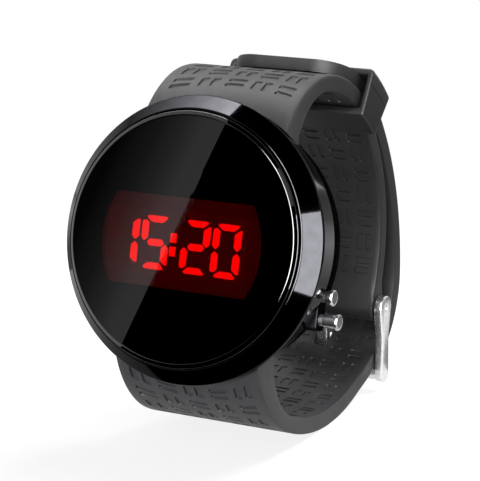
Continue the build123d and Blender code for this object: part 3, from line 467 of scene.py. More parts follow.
def hand_in(bm, name, body, finish, slot, *replaced):
    """Places a piece drawn in case millimetres, gives it its body and finish, and hides the pieces it
    replaces.
    """
    bmesh.ops.transform(bm, matrix=case_place, verts=bm.verts)
    bmesh.ops.remove_doubles(bm, verts=bm.verts, dist=PLACED_MERGE)
    bmesh.ops.dissolve_degenerate(bm, edges=bm.edges, dist=PLACED_MERGE)
    bmesh.ops.recalc_face_normals(bm, faces=bm.faces)
    if bm.calc_volume(signed=True) < 0:
        bmesh.ops.reverse_faces(bm, faces=bm.faces)
    for face in bm.faces:
        face.smooth = True
    for edge in bm.edges:
        edge.smooth = edge.is_manifold and edge.calc_face_angle(0.0) < SHARP
    open_edges = sum(1 for edge in bm.edges if not edge.is_manifold)
    volume = round(bm.calc_volume() / MM**3, 2)
    piece = object_from(bm, name, finish)
    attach(piece, body)
    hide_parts(*replaced)
    piece.data.calc_loop_triangles()
    triangles = len(piece.data.loop_triangles)
    print(name, "triangles", triangles, "open edges", open_edges, "volume", volume)


print("sharp edges from", round(math.degrees(SHARP)), "degrees")


# %% Join and cut shells
def worked(bm, operation, tools):
    """Joins shells to a shell, or cuts them out of it."""
    blank = object_from(welded(bm), "blank")
    for index, tool in enumerate(tools):
        step = blank.modifiers.new(f"step_{index}", "BOOLEAN")
        step.operation = operation
        step.solver = "EXACT"
        step.object = object_from(welded(tool), f"tool_{index}")
    shaped = blank.evaluated_get(bpy.context.evaluated_depsgraph_get())
    result = bmesh.new()
    result.from_mesh(shaped.to_mesh())
    shaped.to_mesh_clear()
    for part in [step.object for step in blank.modifiers] + [blank]:
        bpy.data.meshes.remove(part.data)
    return result


print("shells are joined and cut by the Boolean modifier")

# %% [markdown]
# ## Turned pieces
# The crystal, the bezel and the case back are round, so in a workshop they come off a lathe. The
# same idea works here: draw half a section as a wire, round its corners with a vertex bevel, and
# spin it once round the case axis. A full spin merges its last step with its first.

# %% Points and corners of a wire
GUARD = 0.05


def guard_points(bm):
    """Puts a point near both ends of every long edge, so a flat stays flat beside a rounding."""
    for edge in [edge for edge in bm.edges if edge.calc_length() > 6 * GUARD]:
        near, far = edge.verts
        split_off, _ = bmesh.utils.edge_split(edge, near, GUARD / edge.calc_length())
        rest = edge if far in edge.verts else split_off
        bmesh.utils.edge_split(rest, far, GUARD / rest.calc_length())


def rounded(bm, geom, radius, segments, affect="EDGES", clamp_overlap=True):
    """Rounds edges, or the corners of a wire, to a radius."""
    bmesh.ops.bevel(
        bm, geom=geom, offset=radius, segments=segments, affect=affect,
        profile=0.5, material=-1, clamp_overlap=clamp_overlap,
    )


print("guards stand", GUARD, "mm from a corner")

# %% The lathe
TURN_STEPS = 240
FULL_TURN = 2 * math.pi


def spun(bm, centre, axis, angle, steps):
    """Spins all that is drawn. A full turn merges its last step with its first."""
    drawn = bm.verts[:] + bm.edges[:] + bm.faces[:]
    settings = {"angle": angle, "steps": steps, "use_merge": angle == FULL_TURN}
    bmesh.ops.spin(bm, geom=drawn, cent=centre, axis=axis, **settings)


def turned(outline, rounds, closed, centre=(0.0, 0.0, 0.0), axis=(0.0, 1.0, 0.0), steps=TURN_STEPS):
    """Shell turned about an axis. rounds gives a rounding for some of the outline's corners."""
    bm = bmesh.new()
    corners = [bm.verts.new(point) for point in outline]
    followers = corners[1:] + corners[:1] if closed else corners[1:]
    for start, end in zip(corners, followers):
        bm.edges.new((start, end))
    for corner, radius in rounds.items():
        rounded(bm, [corners[corner]], radius, 4, "VERTICES", False)
    guard_points(bm)
    spun(bm, centre, axis, FULL_TURN, steps)
    return welded(bm)


def section(*points):
    """Points of a half section, from radius and depth."""
    return [(radius, depth, 0.0) for radius, depth in points]


print("the lathe takes", TURN_STEPS, "steps a turn")

# %% [markdown]
# ## Crystal
# On the real watch this is a ground glass disc that stands proud of its ring. Its bevelled edge
# catches a thin bright line, so the bevel's two corners get roundings of their own.

# %% Crystal
crystal_radius, crystal_front, crystal_back = 18.49, -3.33, -1.51
bevel_across, bevel_deep = 0.59, 0.41
crystal_section = section(
    (0.0, crystal_front),
    (crystal_radius - bevel_across, crystal_front),
    (crystal_radius, crystal_front + bevel_deep),
    (crystal_radius, crystal_back),
    (0.0, crystal_back),
)
crystal_shell = turned(crystal_section, {1: 0.12, 2: 0.08}, closed=False)
hand_in(crystal_shell, "crystal_disc", "case", watch_glass, "smoked_glass", "crystal")

# %% [markdown]
# ## Bezel
# A broad chamfer runs from the lip by the glass down to the rim, and a slightly conical band goes
# back from there. Real plated rings have no knife edges, so every corner that can be seen is rounded.

# %% Bezel
bezel_section = section(
    (16.76, -1.3),
    (18.61, -1.3),
    (18.61, -2.40),
    (18.65, -2.5),
    (18.86, -2.5),
    (21.0, 0.0),
    (21.0, 0.4),
    (19.34, 7.4),
    (18.99, 7.75),
    (17.94, 7.75),
    (17.94, -0.35),
    (16.76, -0.35),
)
bezel_shell = turned(bezel_section, {4: 0.19, 5: 0.16, 6: 0.16, 7: 0.1, 8: 0.1}, closed=True)
hand_in(bezel_shell, "bezel_ring", "case", black_polish, "polished_case", "bezel")

# %% [markdown]
# ## Case back
# The back is turned too: a rim, a shallow round panel and two fine rings, which polish leaves on such
# backs. Four screws hold it, so four seats are cut for them. Nothing is engraved here.


# %% Round bars for seats, bores and rods
def quarter_turn(bm, axis):
    matrix = Matrix.Rotation(math.radians(90.0), 3, axis)
    bmesh.ops.rotate(bm, cent=(0, 0, 0), matrix=matrix, verts=bm.verts)


def disc_prism(centre, radius, low, high, segments=48):
    """Round bar along X. The centre is a point in the side view."""
    bm = bmesh.new()
    radii = {"radius1": radius, "radius2": radius}
    bmesh.ops.create_cone(bm, cap_ends=True, segments=segments, depth=high - low, **radii)
    quarter_turn(bm, "Y")
    bmesh.ops.translate(bm, vec=((low + high) / 2, centre[0], centre[1]), verts=bm.verts)
    return bm


def post(centre, radius, near, far, segments=32):
    """Round bar along the case axis. The centre is a point in the front view."""
    bm = disc_prism((0.0, 0.0), radius, near, far, segments)
    quarter_turn(bm, "Z")
    bmesh.ops.translate(bm, vec=(centre[0], 0.0, centre[1]), verts=bm.verts)
    return bm


print("round bars lie along X, and posts along the case axis")

# %% Case back
SCREW_CIRCLE = 17.2
BACK_FACE = 11.9
SEAT_RADIUS, SEAT_FLOOR = 0.82, 11.33
screw_turns = [math.radians(angle) for angle in (45, 135, 225, 315)]
screw_spots = [(SCREW_CIRCLE * math.cos(turn), SCREW_CIRCLE * math.sin(turn)) for turn in screw_turns]
back_section = section(
    (0.0, 10.31),
    (15.28, 10.31),
    (15.28, 10.61),
    (18.4, 10.61),
    (18.4, 11.5),
    (18.0, BACK_FACE),
    (15.0, BACK_FACE),
    (14.92, 11.84),
    (14.8, 11.84),
    (14.72, BACK_FACE),
    (12.5, BACK_FACE),
    (12.25, 11.65),
    (7.0, 11.65),
    (6.94, 11.61),
    (6.86, 11.61),
    (6.8, 11.65),
    (0.0, 11.65),
)
back_shell = turned(back_section, {4: 0.1, 5: 0.1, 10: 0.08}, closed=False)
seats = [post(spot, SEAT_RADIUS, SEAT_FLOOR, BACK_FACE + 0.6) for spot in screw_spots]
back_shell = worked(back_shell, "DIFFERENCE", seats)
hand_in(back_shell, "case_back_plate", "case", black_brushed, "brushed_case", "case_back")

# %% Case screws
SLOT_SIZE = (2.0, 0.4, 0.25)
screw_section = section(
    (0.0, 9.1), (0.42, 9.1), (0.45, 9.2), (0.45, 11.35), (0.8, 11.35), (0.8, BACK_FACE), (0.0, BACK_FACE)
)
screws = bmesh.new()
screw_mesh = bpy.data.meshes.new("screw_blank")
for spot in screw_spots:
    outline = [(radius + spot[0], depth, spot[1]) for radius, depth, _ in screw_section]
    screw = turned(outline, {5: 0.1}, False, centre=(spot[0], 0.0, spot[1]), steps=32)
    slot = bmesh.new()
    bmesh.ops.create_cube(slot, size=1.0)
    bmesh.ops.scale(slot, vec=SLOT_SIZE, verts=slot.verts)
    slot_turn = Matrix.Rotation(spot[0] * 0.9, 3, "Y")
    bmesh.ops.rotate(slot, cent=(0, 0, 0), matrix=slot_turn, verts=slot.verts)
    bmesh.ops.translate(slot, vec=(spot[0], BACK_FACE, spot[1]), verts=slot.verts)
    screw = worked(screw, "DIFFERENCE", [slot])
    screw.to_mesh(screw_mesh)
    screws.from_mesh(screw_mesh)
    screw.free()
bpy.data.meshes.remove(screw_mesh)
hand_in(screws, "back_screws", "case", pin_steel, "steel", "case_screws")

# %% [markdown]
# ## Middle case
# Behind the bezel sits the inner case: a tube with a flange, four lugs that reach into the strap
# ends, and a boss with two wells for the buttons. Tube and flange are turned, the lugs and the boss
# are hulls round discs, and joins and cuts put them together as a mill would.


# %% Prisms round discs
def only(kind, items):
    """Those of one kind, out of what an operator gives back."""
    return [item for item in items if isinstance(item, kind)]


def extruded(bm, faces, step):
    """Extrudes faces by a step, and leaves the first ones as the other end."""
    grown = bmesh.ops.extrude_face_region(bm, geom=faces)["geom"]
    bmesh.ops.translate(bm, vec=step, verts=only(bmesh.types.BMVert, grown))


def hull_prism(discs, low, high, segments=48):
    """Prism along X whose outline goes round discs given as (centre, radius) in the side view."""
    bm = bmesh.new()
    for centre, radius in discs:
        made = bmesh.ops.create_circle(bm, cap_ends=False, segments=segments, radius=radius)["verts"]
        for vert in made:
            vert.co = (low, centre[0] + vert.co.x, centre[1] + vert.co.y)
    hull = bmesh.ops.convex_hull(bm, input=bm.verts[:])
    inside = set(only(bmesh.types.BMVert, hull["geom_interior"] + hull["geom_unused"]))
    bmesh.ops.delete(bm, geom=list(inside), context="VERTS")
    middle = sum((vert.co for vert in bm.verts), Vector()) / len(bm.verts)
    outline = sorted(bm.verts, key=lambda vert: math.atan2(vert.co.z - middle.z, vert.co.y - middle.y))
    bmesh.ops.delete(bm, geom=bm.edges[:], context="EDGES_FACES")
    extruded(bm, [bm.faces.new(outline)], (high - low, 0, 0))
    bmesh.ops.recalc_face_normals(bm, faces=bm.faces)
    return bm


def broken_rims(bm, radius, segments=3, limit=1.0):
    """Rounds every edge sharper than a limit."""
    bmesh.ops.dissolve_limit(bm, angle_limit=math.radians(0.5), verts=bm.verts, edges=bm.edges)
    rims = [edge for edge in bm.edges if edge.is_manifold and edge.calc_face_angle(0.0) > limit]
    rounded(bm, rims, radius, segments)
    return bm


print("prisms go round discs, and their rims are broken")

# %% Middle case
BUTTON_DEPTH, BUTTON_HEIGHTS = 9.225, (-6.0, -9.4)
BUTTON_WELL, BUTTON_BORE = 0.9, 0.65
BOSS_FACE, BOSS_CORNER = 17.6, 0.6
LUG_BAR, LUG_ROOT = (8.3, 20.7), (9.4, 16.5)
LUG_STARTS, LUG_THICK = (8.1, -10.1), 2.0
tube_section = section(
    (15.39, -0.32),
    (17.84, -0.32),
    (17.84, 7.85),
    (18.6, 7.85),
    (18.6, 10.6),
    (16.36, 10.6),
    (16.36, 10.08),
    (15.72, 10.08),
    (15.72, 10.6),
    (15.39, 10.6),
)
boss_discs = [((depth, height), BOSS_CORNER) for height in (-4.95, -10.45) for depth in (8.45, 10.0)]
inner_case = turned(tube_section, {3: 0.12, 4: 0.12}, closed=True)
added = [broken_rims(hull_prism(boss_discs, 14.4, BOSS_FACE, 32), 0.12, 2, 1.3)]
for side in (1, -1):
    lug = [((LUG_BAR[0], side * LUG_BAR[1]), 1.1), ((LUG_ROOT[0], side * LUG_ROOT[1]), 1.2)]
    for low in LUG_STARTS:
        added.append(broken_rims(hull_prism(lug, low, low + LUG_THICK, 32), 0.15, 2, 1.3))
inner_case = worked(inner_case, "UNION", added)
cuts = [hull_prism(boss_discs, BOSS_FACE, 21.5, 32)]
for height in BUTTON_HEIGHTS:
    cuts.append(disc_prism((BUTTON_DEPTH, height), BUTTON_WELL, BOSS_FACE - 1.4, 22.0, 32))
    cuts.append(disc_prism((BUTTON_DEPTH, height), BUTTON_BORE, 11.0, 22.0, 32))
cuts += [post(spot, 0.47, 9.08, 11.0, 24) for spot in screw_spots]
inner_case = worked(inner_case, "DIFFERENCE", cuts)
hand_in(inner_case, "middle_case_body", "case", black_brushed, "brushed_case", "middle_case")

# %% [markdown]
# ## Push buttons
# Both buttons are turned steel: a long stem with a groove for its clip, a plain neck, a narrow groove
# and a bright rim with a domed end. They are turned about a line along X, because they press inwards.

# %% Push buttons
STEM, CLIP_GROOVE, NECK, RIM_GROOVE, RIM, FACE = 0.6, 0.42, 1.08, 0.98, 1.2, 0.7
button_reaches = {"upper_button": 19.5, "lower_button": 20.7}
for (name, reach), height in zip(button_reaches.items(), BUTTON_HEIGHTS):
    inner_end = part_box(name)[0][0] / MM
    outline = [
        (inner_end, 0.0),
        (inner_end, STEM),
        (14.05, STEM),
        (14.05, CLIP_GROOVE),
        (14.35, CLIP_GROOVE),
        (14.35, STEM),
        (18.35, STEM),
        (18.35, NECK),
        (reach - 0.62, NECK),
        (reach - 0.58, RIM_GROOVE),
        (reach - 0.46, RIM_GROOVE),
        (reach - 0.42, RIM),
        (reach - 0.02, RIM),
        (reach, FACE),
        (reach, 0.0),
    ]
    points = [(x, BUTTON_DEPTH + radius, height) for x, radius in outline]
    rounds = {7: 0.08, 11: 0.06, 12: 0.3}
    button = turned(points, rounds, False, (0.0, BUTTON_DEPTH, height), (1.0, 0.0, 0.0), 64)
    hand_in(button, name + "_turned", name, button_bright, "button_metal", name)


# %% [markdown]
# ## Digits
# Each digit is seven light guides, and the ones that are lit show the time. A guide is a short bar with
# slanted ends and soft corners. Its outline is a wire of a few points in the front view, its corners
# are rounded by a vertex bevel, and the face is extruded back into the reflector block.

# %% Outlines of the light guides
DIGIT_WIDE, DIGIT_HIGH, POST_WIDE, BAR_WIDE = 4.715, 7.85, 1.2, 1.0
EDGE_GAP, GUIDE_SPLIT, TIP = 0.06, 0.4, 0.55


def guide_outlines():
    """Outlines of a digit's seven guides, from its left foot."""
    wide, high, edge, gap, tip = DIGIT_WIDE, DIGIT_HIGH, EDGE_GAP, GUIDE_SPLIT, TIP
    half = high / 2
    foot = [(POST_WIDE + gap, BAR_WIDE), (edge + gap + tip / 2, edge + tip / 2), (edge + gap + tip, edge)]
    foot += [(wide - x, z) for x, z in reversed(foot)]
    post_side = [
        (edge, edge + gap + tip),
        (edge + tip / 2, edge + gap + tip / 2),
        (POST_WIDE, BAR_WIDE + gap),
        (POST_WIDE, half - 0.55),
        (POST_WIDE / 2, half - 0.15),
        (edge, half - 0.4),
    ]
    bar = [(POST_WIDE - 0.1, half), (POST_WIDE + 0.3, half - BAR_WIDE / 2)]
    bar.append((wide - POST_WIDE - 0.3, half - BAR_WIDE / 2))
    bar += [(wide - x, high - z) for x, z in bar]
    right = [(wide - x, z) for x, z in post_side]
    shapes = {"c": right, "d": foot, "e": post_side, "g": bar}
    for upper, lower in (("a", foot), ("b", right), ("f", post_side)):
        shapes[upper] = [(x, high - z) for x, z in lower]
    return shapes


print("outlines of guides", sorted(guide_outlines()))

# %% Light guides
GUIDE_FRONT, GUIDE_BACK, GUIDE_CORNER = -0.985, -0.41, 0.14
DIGIT_PITCH, COLON_ROOM, DIGITS_RIGHT, DIGITS_MIDDLE = 5.015, 1.65, 9.02, -0.95
COLON_HALF_WIDE, COLON_HALF_HIGH, COLON_SPREAD = 0.5, 0.68, 0.98


def guides(names_by_digit, with_colon):
    """Chosen guides of the four digits, and the colon, as one shell."""
    outlines, foot_level = guide_outlines(), DIGITS_MIDDLE - DIGIT_HIGH / 2
    shapes = []
    for place, names in enumerate(names_by_digit):
        room = COLON_ROOM if place < 2 else 0.0
        left = DIGITS_RIGHT - DIGIT_WIDE - DIGIT_PITCH * (3 - place) - room
        shapes += [[(left + x, foot_level + z) for x, z in outlines[name]] for name in names]
    if with_colon:
        middle = DIGITS_RIGHT - DIGIT_PITCH * 2 - (COLON_ROOM - DIGIT_WIDE + DIGIT_PITCH) / 2
        wide, high = COLON_HALF_WIDE, COLON_HALF_HIGH
        for side in (-1, 1):
            level = DIGITS_MIDDLE + side * COLON_SPREAD
            corners = ((-wide, -high), (wide, -high), (wide, high), (-wide, high))
            shapes.append([(middle + x, level + z) for x, z in corners])
    bm = bmesh.new()
    for shape in shapes:
        bm.faces.new([bm.verts.new((x, GUIDE_FRONT, z)) for x, z in shape])
    rounded(bm, bm.verts[:], GUIDE_CORNER, 3, "VERTICES")
    extruded(bm, bm.faces[:], (0.0, GUIDE_BACK - GUIDE_FRONT, 0.0))
    return bm


lit_shell = guides(("bc", "acdfg", "abdeg", "abcdef"), True)
dark_shell = guides(("adefg", "be", "cf", "g"), False)
hand_in(lit_shell, "digits_lit", "case", lit_guide, "lit_red", "lit_segments")
hand_in(dark_shell, "digits_dark", "case", dark_guide_painted_glow, "dark_red", "dark_segments")

# %% [markdown]
# ## The strap's path
# Seen from the side, both strap halves follow circles: a round loop over the top, a wide one below
# and tight ones where they leave the case. The rails below are those circles in (Y, Z). A strap is
# then drawn flat, as a moulder would lay it out, and every point is carried onto the two rails.


# %% Arcs and rails
def on_circle(centre, radius, angle):
    """Point of a circle at an angle in degrees."""
    turn = math.radians(angle)
    return Vector((centre[0] + radius * math.cos(turn), centre[1] + radius * math.sin(turn)))


def angle_of(centre, point):
    return math.degrees(math.atan2(point[1] - centre[1], point[0] - centre[0]))


def arc(centre, radius, start, end):
    """Length of an arc, and its point at a share of it."""
    return (
        abs(math.radians(end - start)) * radius,
        lambda share: on_circle(centre, radius, start + (end - start) * share),
    )


def straight(start, end):
    return (Vector(end) - Vector(start)).length, lambda share: Vector(start).lerp(Vector(end), share)


def held(share):
    """A share kept between nought and one."""
    return min(max(share, 0.0), 1.0)


def rail_point(rail, share):
    """Point at a share of a rail, which is a list of arcs and straights."""
    reach = held(share) * sum(length for length, _ in rail)
    for length, point in rail:
        if reach <= length:
            return point(reach / length)
        reach -= length
    return rail[-1][1](1.0)


def meeting_point(first, first_radius, second, second_radius):
    """Where two circles meet, on the right of the line from the first to the second."""
    line = Vector(second) - Vector(first)
    along = (first_radius**2 - second_radius**2 + line.length_squared) / (2 * line.length)
    aside = math.sqrt(first_radius**2 - along**2)
    step = line.normalized()
    return Vector(first) + step * along + Vector((step.y, -step.x)) * aside


print("a quarter of a circle of 10 mm is", round(arc((0.0, 0.0), 10.0, 0.0, 90.0)[0], 2), "mm long")

# %% The strap's circles
THICKNESS, LAYER_GAP = 2.5, 0.2
loop_centre, loop_radius = (19.5, -2.0), 26.1
lower_centre, lower_radius = (22.5015, 14.994), 40.194
tail_radius = loop_radius + THICKNESS + LAYER_GAP
sweep_radius, bend_radius = 42.752, 12.75
tail_join, tail_tip = 53.0, 83.0
sweep_centre = on_circle(loop_centre, tail_radius - sweep_radius, tail_join)
bend_centre = meeting_point(
    sweep_centre, sweep_radius - bend_radius, lower_centre, lower_radius - bend_radius
)
bend_start = angle_of(lower_centre, bend_centre)
bend_end = angle_of(sweep_centre, bend_centre)
buckle_angle, crossbar_angle = -13.4, -51.5
eye_radius, foot_radius = 2.3, 1.3
buckle_bar = on_circle(loop_centre, loop_radius + eye_radius, buckle_angle)
crossbar = on_circle(lower_centre, lower_radius + THICKNESS + foot_radius, crossbar_angle)
print("bend", [round(v, 2) for v in bend_centre], "bar", buckle_bar[:], "crossbar", crossbar[:])

# %% How a strap meets the case and narrows
BAND = ((0.4, 21.15), (7.9, 19.49))
FLANGE_CLEAR, BAND_END = 18.75, 7.82
HALF_SHEET, NARROWING = 12.0, 1.9
TAPER_START, TAPER_LENGTH = -10.0, 25.0


def case_reach(depth):
    """Radius of the room for the case at a depth."""
    (front, wide), (rear, narrow) = BAND
    if depth > rear:
        return FLANGE_CLEAR
    return wide + (narrow - wide) * held((depth - front) / (rear - front))


def half_width(point, side):
    """Half the strap's width: it narrows from the case towards the buckle."""
    along = (point[0] - side * point[1]) / math.sqrt(2)
    return HALF_SHEET - NARROWING * held((along - TAPER_START) / TAPER_LENGTH)


def clear_share(rail, x):
    """First share of a rail at which it is outside the case."""
    def outside(share):
        point = rail_point(rail, share)
        return math.hypot(x, point[1]) >= case_reach(point[0])

    if outside(0.0):
        return 0.0
    low, high = 0.0, 1.0
    for _ in range(24):
        middle = (low + high) / 2
        if outside(middle):
            high = middle
        else:
            low = middle
    return high


def root_wall(outer, inner, x, side):
    """Corners of the strap's end wall against the case, from its outer edge to its inner one."""
    upright = math.sqrt(max(case_reach(outer[0]) ** 2 - x**2, 0.0))
    upright = min(upright, abs(outer[1]))
    rear = math.sqrt(BAND[1][1] ** 2 - x**2)
    return [
        outer,
        Vector((outer[0], side * upright)),
        Vector((min(BAND_END, inner[0]), side * rear)),
        inner,
    ]


print("half widths", HALF_SHEET, "at the case and", HALF_SHEET - NARROWING, "at the buckle")

# %% [markdown]
# ## A strap as a flat sheet
# The sheet is a grid whose lines fall on the edges of a basketweave of short sunk bars, a common
# rubber strap pattern. Bars are sunk with one inset, their corners rounded with one bevel. The
# underside is a mirrored copy, and the border is extruded down to it. Holes are cells left out.

# %% Grid lines of the basketweave
MOTIFS_ACROSS = 5
PLAIN_EDGE = 0.1
ACROSS_SHARES = (0.0, 0.15, 0.43, 0.57, 0.85)
UPPER_SHARES = (0.0, 0.16, 0.43, 0.57, 0.84)
LOWER_SHARES = (0.0, 0.186, 0.44, 0.56, 0.814)
motif_across = 2 * (1 - PLAIN_EDGE) / MOTIFS_ACROSS
columns = [-1.0]
for index in range(MOTIFS_ACROSS):
    columns += [-1 + PLAIN_EDGE + motif_across * (index + share) for share in ACROSS_SHARES]
columns += [1 - PLAIN_EDGE, 1.0]
print("columns", [round(value, 3) for value in columns])

# %% Sunk bars
BAR_DEPTH, BAR_SLOPE, BAR_CORNER = 0.2, 0.1, 0.2
WALL_ANGLE = 0.8


def corner_edges(edges, walls):
    """Edges where two walls meet at an angle."""
    between = [edge for edge in edges if len(edge.link_faces) == 2 and walls.issuperset(edge.link_faces)]
    return [edge for edge in between if edge.calc_face_angle(0.0) > WALL_ANGLE]


def sink(bm, bars):
    """Sinks bars into a sheet with one inset, and rounds their corners."""
    settings = {"thickness": BAR_SLOPE, "depth": -BAR_DEPTH, "use_even_offset": True}
    walls = set(bmesh.ops.inset_region(bm, faces=bars, use_boundary=True, **settings)["faces"])
    rounded(bm, corner_edges({edge for face in walls for edge in face.edges}, walls), BAR_CORNER, 3)


print("bars are sunk", BAR_DEPTH, "mm with corners of", BAR_CORNER)

# %% Underside and border
WALL_ROWS = 3


def walled(bm):
    """Copies a sheet to its underside, and extrudes its border down to the copy."""
    rim = [edge for edge in bm.edges if edge.is_boundary]
    under = bmesh.ops.duplicate(bm, geom=bm.verts[:] + bm.edges[:] + bm.faces[:])["geom"]
    for vert in only(bmesh.types.BMVert, under):
        vert.co.z = THICKNESS - vert.co.z
    bmesh.ops.reverse_faces(bm, faces=only(bmesh.types.BMFace, under))
    for _ in range(WALL_ROWS):
        grown = bmesh.ops.extrude_edge_only(bm, edges=rim)["geom"]
        rim = [edge for edge in only(bmesh.types.BMEdge, grown) if edge.is_boundary]
        verts = list({vert for edge in rim for vert in edge.verts})
        bmesh.ops.translate(bm, vec=(0.0, 0.0, -THICKNESS / WALL_ROWS), verts=verts)
    return welded(bm)


print("walls have", WALL_ROWS, "rows of faces")

# %% Soft edges of holes and rims
HOLE_CORNER, HOLE_REACH = 1.15, 2.0
RIM_ROUND = 0.32
NEAR = 0.001


def upright_faces(bm):
    return {face for face in bm.faces if abs(face.normal.z) < 0.01}


def soften_holes(bm):
    """Rounds the upright corners of the holes, which lie near the middle line."""
    corners = corner_edges(bm.edges, upright_faces(bm))
    corners = [edge for edge in corners if all(abs(vert.co.x) < HOLE_REACH for vert in edge.verts)]
    if corners:
        rounded(bm, corners, HOLE_CORNER, 4)


def soften_rims(bm, first, last):
    """Rounds the edges between flats and walls, but for those before first and after last."""
    upright = upright_faces(bm)
    edges = []
    for edge in bm.edges:
        flats = [face for face in edge.link_faces if face not in upright]
        places = [vert.co for vert in edge.verts]
        on_face = all(place.z > THICKNESS - NEAR or place.z < NEAR for place in places)
        at_end = all(place.y < first for place in places) or all(place.y > last for place in places)
        if len(edge.link_faces) == 2 and len(flats) == 1 and on_face and not at_end:
            edges.append(edge)
    rounded(bm, edges, RIM_ROUND, 3)


print("rims are rounded by", RIM_ROUND, "mm and holes by", HOLE_CORNER)


# %% A whole sheet
def strap_sheet(rows, sunk, left_out, round_end):
    """Flat strap in millimetres: x across, y along and z from 0 inside to THICKNESS outside."""
    bm = bmesh.new()
    across, along = len(columns) - 1, len(rows) - 1
    bmesh.ops.create_grid(bm, x_segments=across, y_segments=along, size=1.0)
    cell_of = {}
    for face in bm.faces:
        middle = face.calc_center_median()
        cell_of[face] = (int((middle.x + 1) / 2 * across), int((middle.y + 1) / 2 * along))
    for vert in bm.verts:
        column = round((vert.co.x + 1) / 2 * across)
        row = round((vert.co.y + 1) / 2 * along)
        vert.co = (columns[column] * HALF_SHEET, rows[row], THICKNESS)
    bars = [face for face, cell in cell_of.items() if sunk(*cell)]
    gaps = [face for face, cell in cell_of.items() if left_out(*cell)]
    bmesh.ops.delete(bm, geom=gaps, context="FACES")
    sink(bm, bars)
    walled(bm)
    soften_holes(bm)
    soften_rims(bm, rows[0] + NEAR, rows[-1] + 1.0 if round_end else rows[-1] - NEAR)
    return bm


print("a sheet is", 2 * HALF_SHEET, "mm wide before it is carried")


# %% Carry a sheet onto its rails
def carried(bm, zones, side, width, lift=lambda distance: 0.0):
    """Moves a flat sheet's points onto its rails. lift thins the strap from inside."""
    starts = {}
    for vert in bm.verts:
        sheet_x, distance, height = vert.co
        level = height / THICKNESS
        for low, high, outer, inner in zones:
            if distance <= high or high == zones[-1][1]:
                break
        part = (distance - low) / (high - low)
        if low == 0.0:
            key = round(sheet_x, 2)
            if key not in starts:
                starts[key] = (clear_share(outer, sheet_x), clear_share(inner, sheet_x))
            outer_start, inner_start = starts[key]
            top = rail_point(outer, outer_start + (1 - outer_start) * part)
            foot = rail_point(inner, inner_start + (1 - inner_start) * part)
        else:
            top, foot = rail_point(outer, part), rail_point(inner, part)
        foot = foot.lerp(top, lift(distance))
        point = foot.lerp(top, level)
        if distance < NEAR:
            corners = root_wall(top, foot, sheet_x, side)
            down = (1 - level) * WALL_ROWS
            step = min(int(down), WALL_ROWS - 1)
            point = corners[step].lerp(corners[step + 1], down - step)
        vert.co = (sheet_x / HALF_SHEET * width(point, distance), point[0], point[1])
    return bm


print("the first stretch of a sheet starts at the case, whose room is", case_reach(0.0), "mm")

# %% [markdown]
# ## Upper strap
# This half starts thick at the case, goes over the top and down the back to the buckle, where its
# end wraps the bar. There the outer rail runs round the bar until it meets the inner rail, so the
# thickness closes to nothing. The tongue's notch and the slots for the lugs are cut out at the end.

# %% Upper strap's rails
upper_root = 15.8
inner_bend, outer_bend = 9.5, 17.0
inner_leave, outer_leave = 98.7, 97.0
loop_outer = loop_radius + THICKNESS
upper_corner = on_circle(loop_centre, loop_radius - inner_bend, inner_leave)
upper_shoulder = on_circle(loop_centre, loop_outer - outer_bend, outer_leave)
ramp_angle = buckle_angle + 9.0
ramp_start = on_circle(loop_centre, loop_outer, ramp_angle)
ramp_reach = (ramp_start - buckle_bar).length
ramp_touch = angle_of(buckle_bar, ramp_start) - math.degrees(math.acos(eye_radius / ramp_reach))
ramp = straight(ramp_start, on_circle(buckle_bar, eye_radius, ramp_touch))
eye = arc(buckle_bar, eye_radius, ramp_touch, buckle_angle - 177.0)
eye_start = upper_root + math.radians(outer_leave - ramp_angle) * loop_outer
upper_zones = [
    (
        0.0, upper_root,
        [arc(upper_shoulder, outer_bend, 163.0, outer_leave)],
        [arc(upper_corner, inner_bend, 169.7, inner_leave)],
    ),
    (
        upper_root, eye_start,
        [arc(loop_centre, loop_outer, outer_leave, ramp_angle)],
        [arc(loop_centre, loop_radius, inner_leave, ramp_angle)],
    ),
    (
        eye_start, eye_start + ramp[0] + eye[0],
        [ramp, eye],
        [arc(loop_centre, loop_radius, ramp_angle, buckle_angle)],
    ),
]
print("ramp", round(ramp[0], 2), "touches the eye at", round(ramp_touch, 1))

# %% Upper strap's rows
UPPER_MOTIFS = 16
EYE_STEPS = 16
upper_motif = eye_start / UPPER_MOTIFS
upper_rows = [upper_motif * (index + share) for index in range(UPPER_MOTIFS) for share in UPPER_SHARES]
upper_rows += [eye_start, eye_start + ramp[0] / 2]
upper_rows += [eye_start + ramp[0] + eye[0] * step / EYE_STEPS for step in range(EYE_STEPS + 1)]
print("upper motif", round(upper_motif, 2), "rows", len(upper_rows))

# %% Upper strap
LUG_CLEAR, BAR_BORE, NOTCH_HALF = 0.2, 0.8, 1.25


def motif_cell(column, row):
    """Motif and cell across, motif and cell along, of a grid cell."""
    return (column - 1) // 5, (column - 1) % 5, row // 5, row % 5


def basket(across, cell_x, along, cell_y):
    """Whether a cell belongs to a bar: pairs of bars lie along and across in turn."""
    if not 0 <= across < MOTIFS_ACROSS:
        return False
    if (across + along) % 2:
        cell_x, cell_y = cell_y, cell_x
    return cell_x in (1, 3) and 1 <= cell_y <= 3


def upper_bar(column, row):
    return 5 <= row < UPPER_MOTIFS * 5 and basket(*motif_cell(column, row))


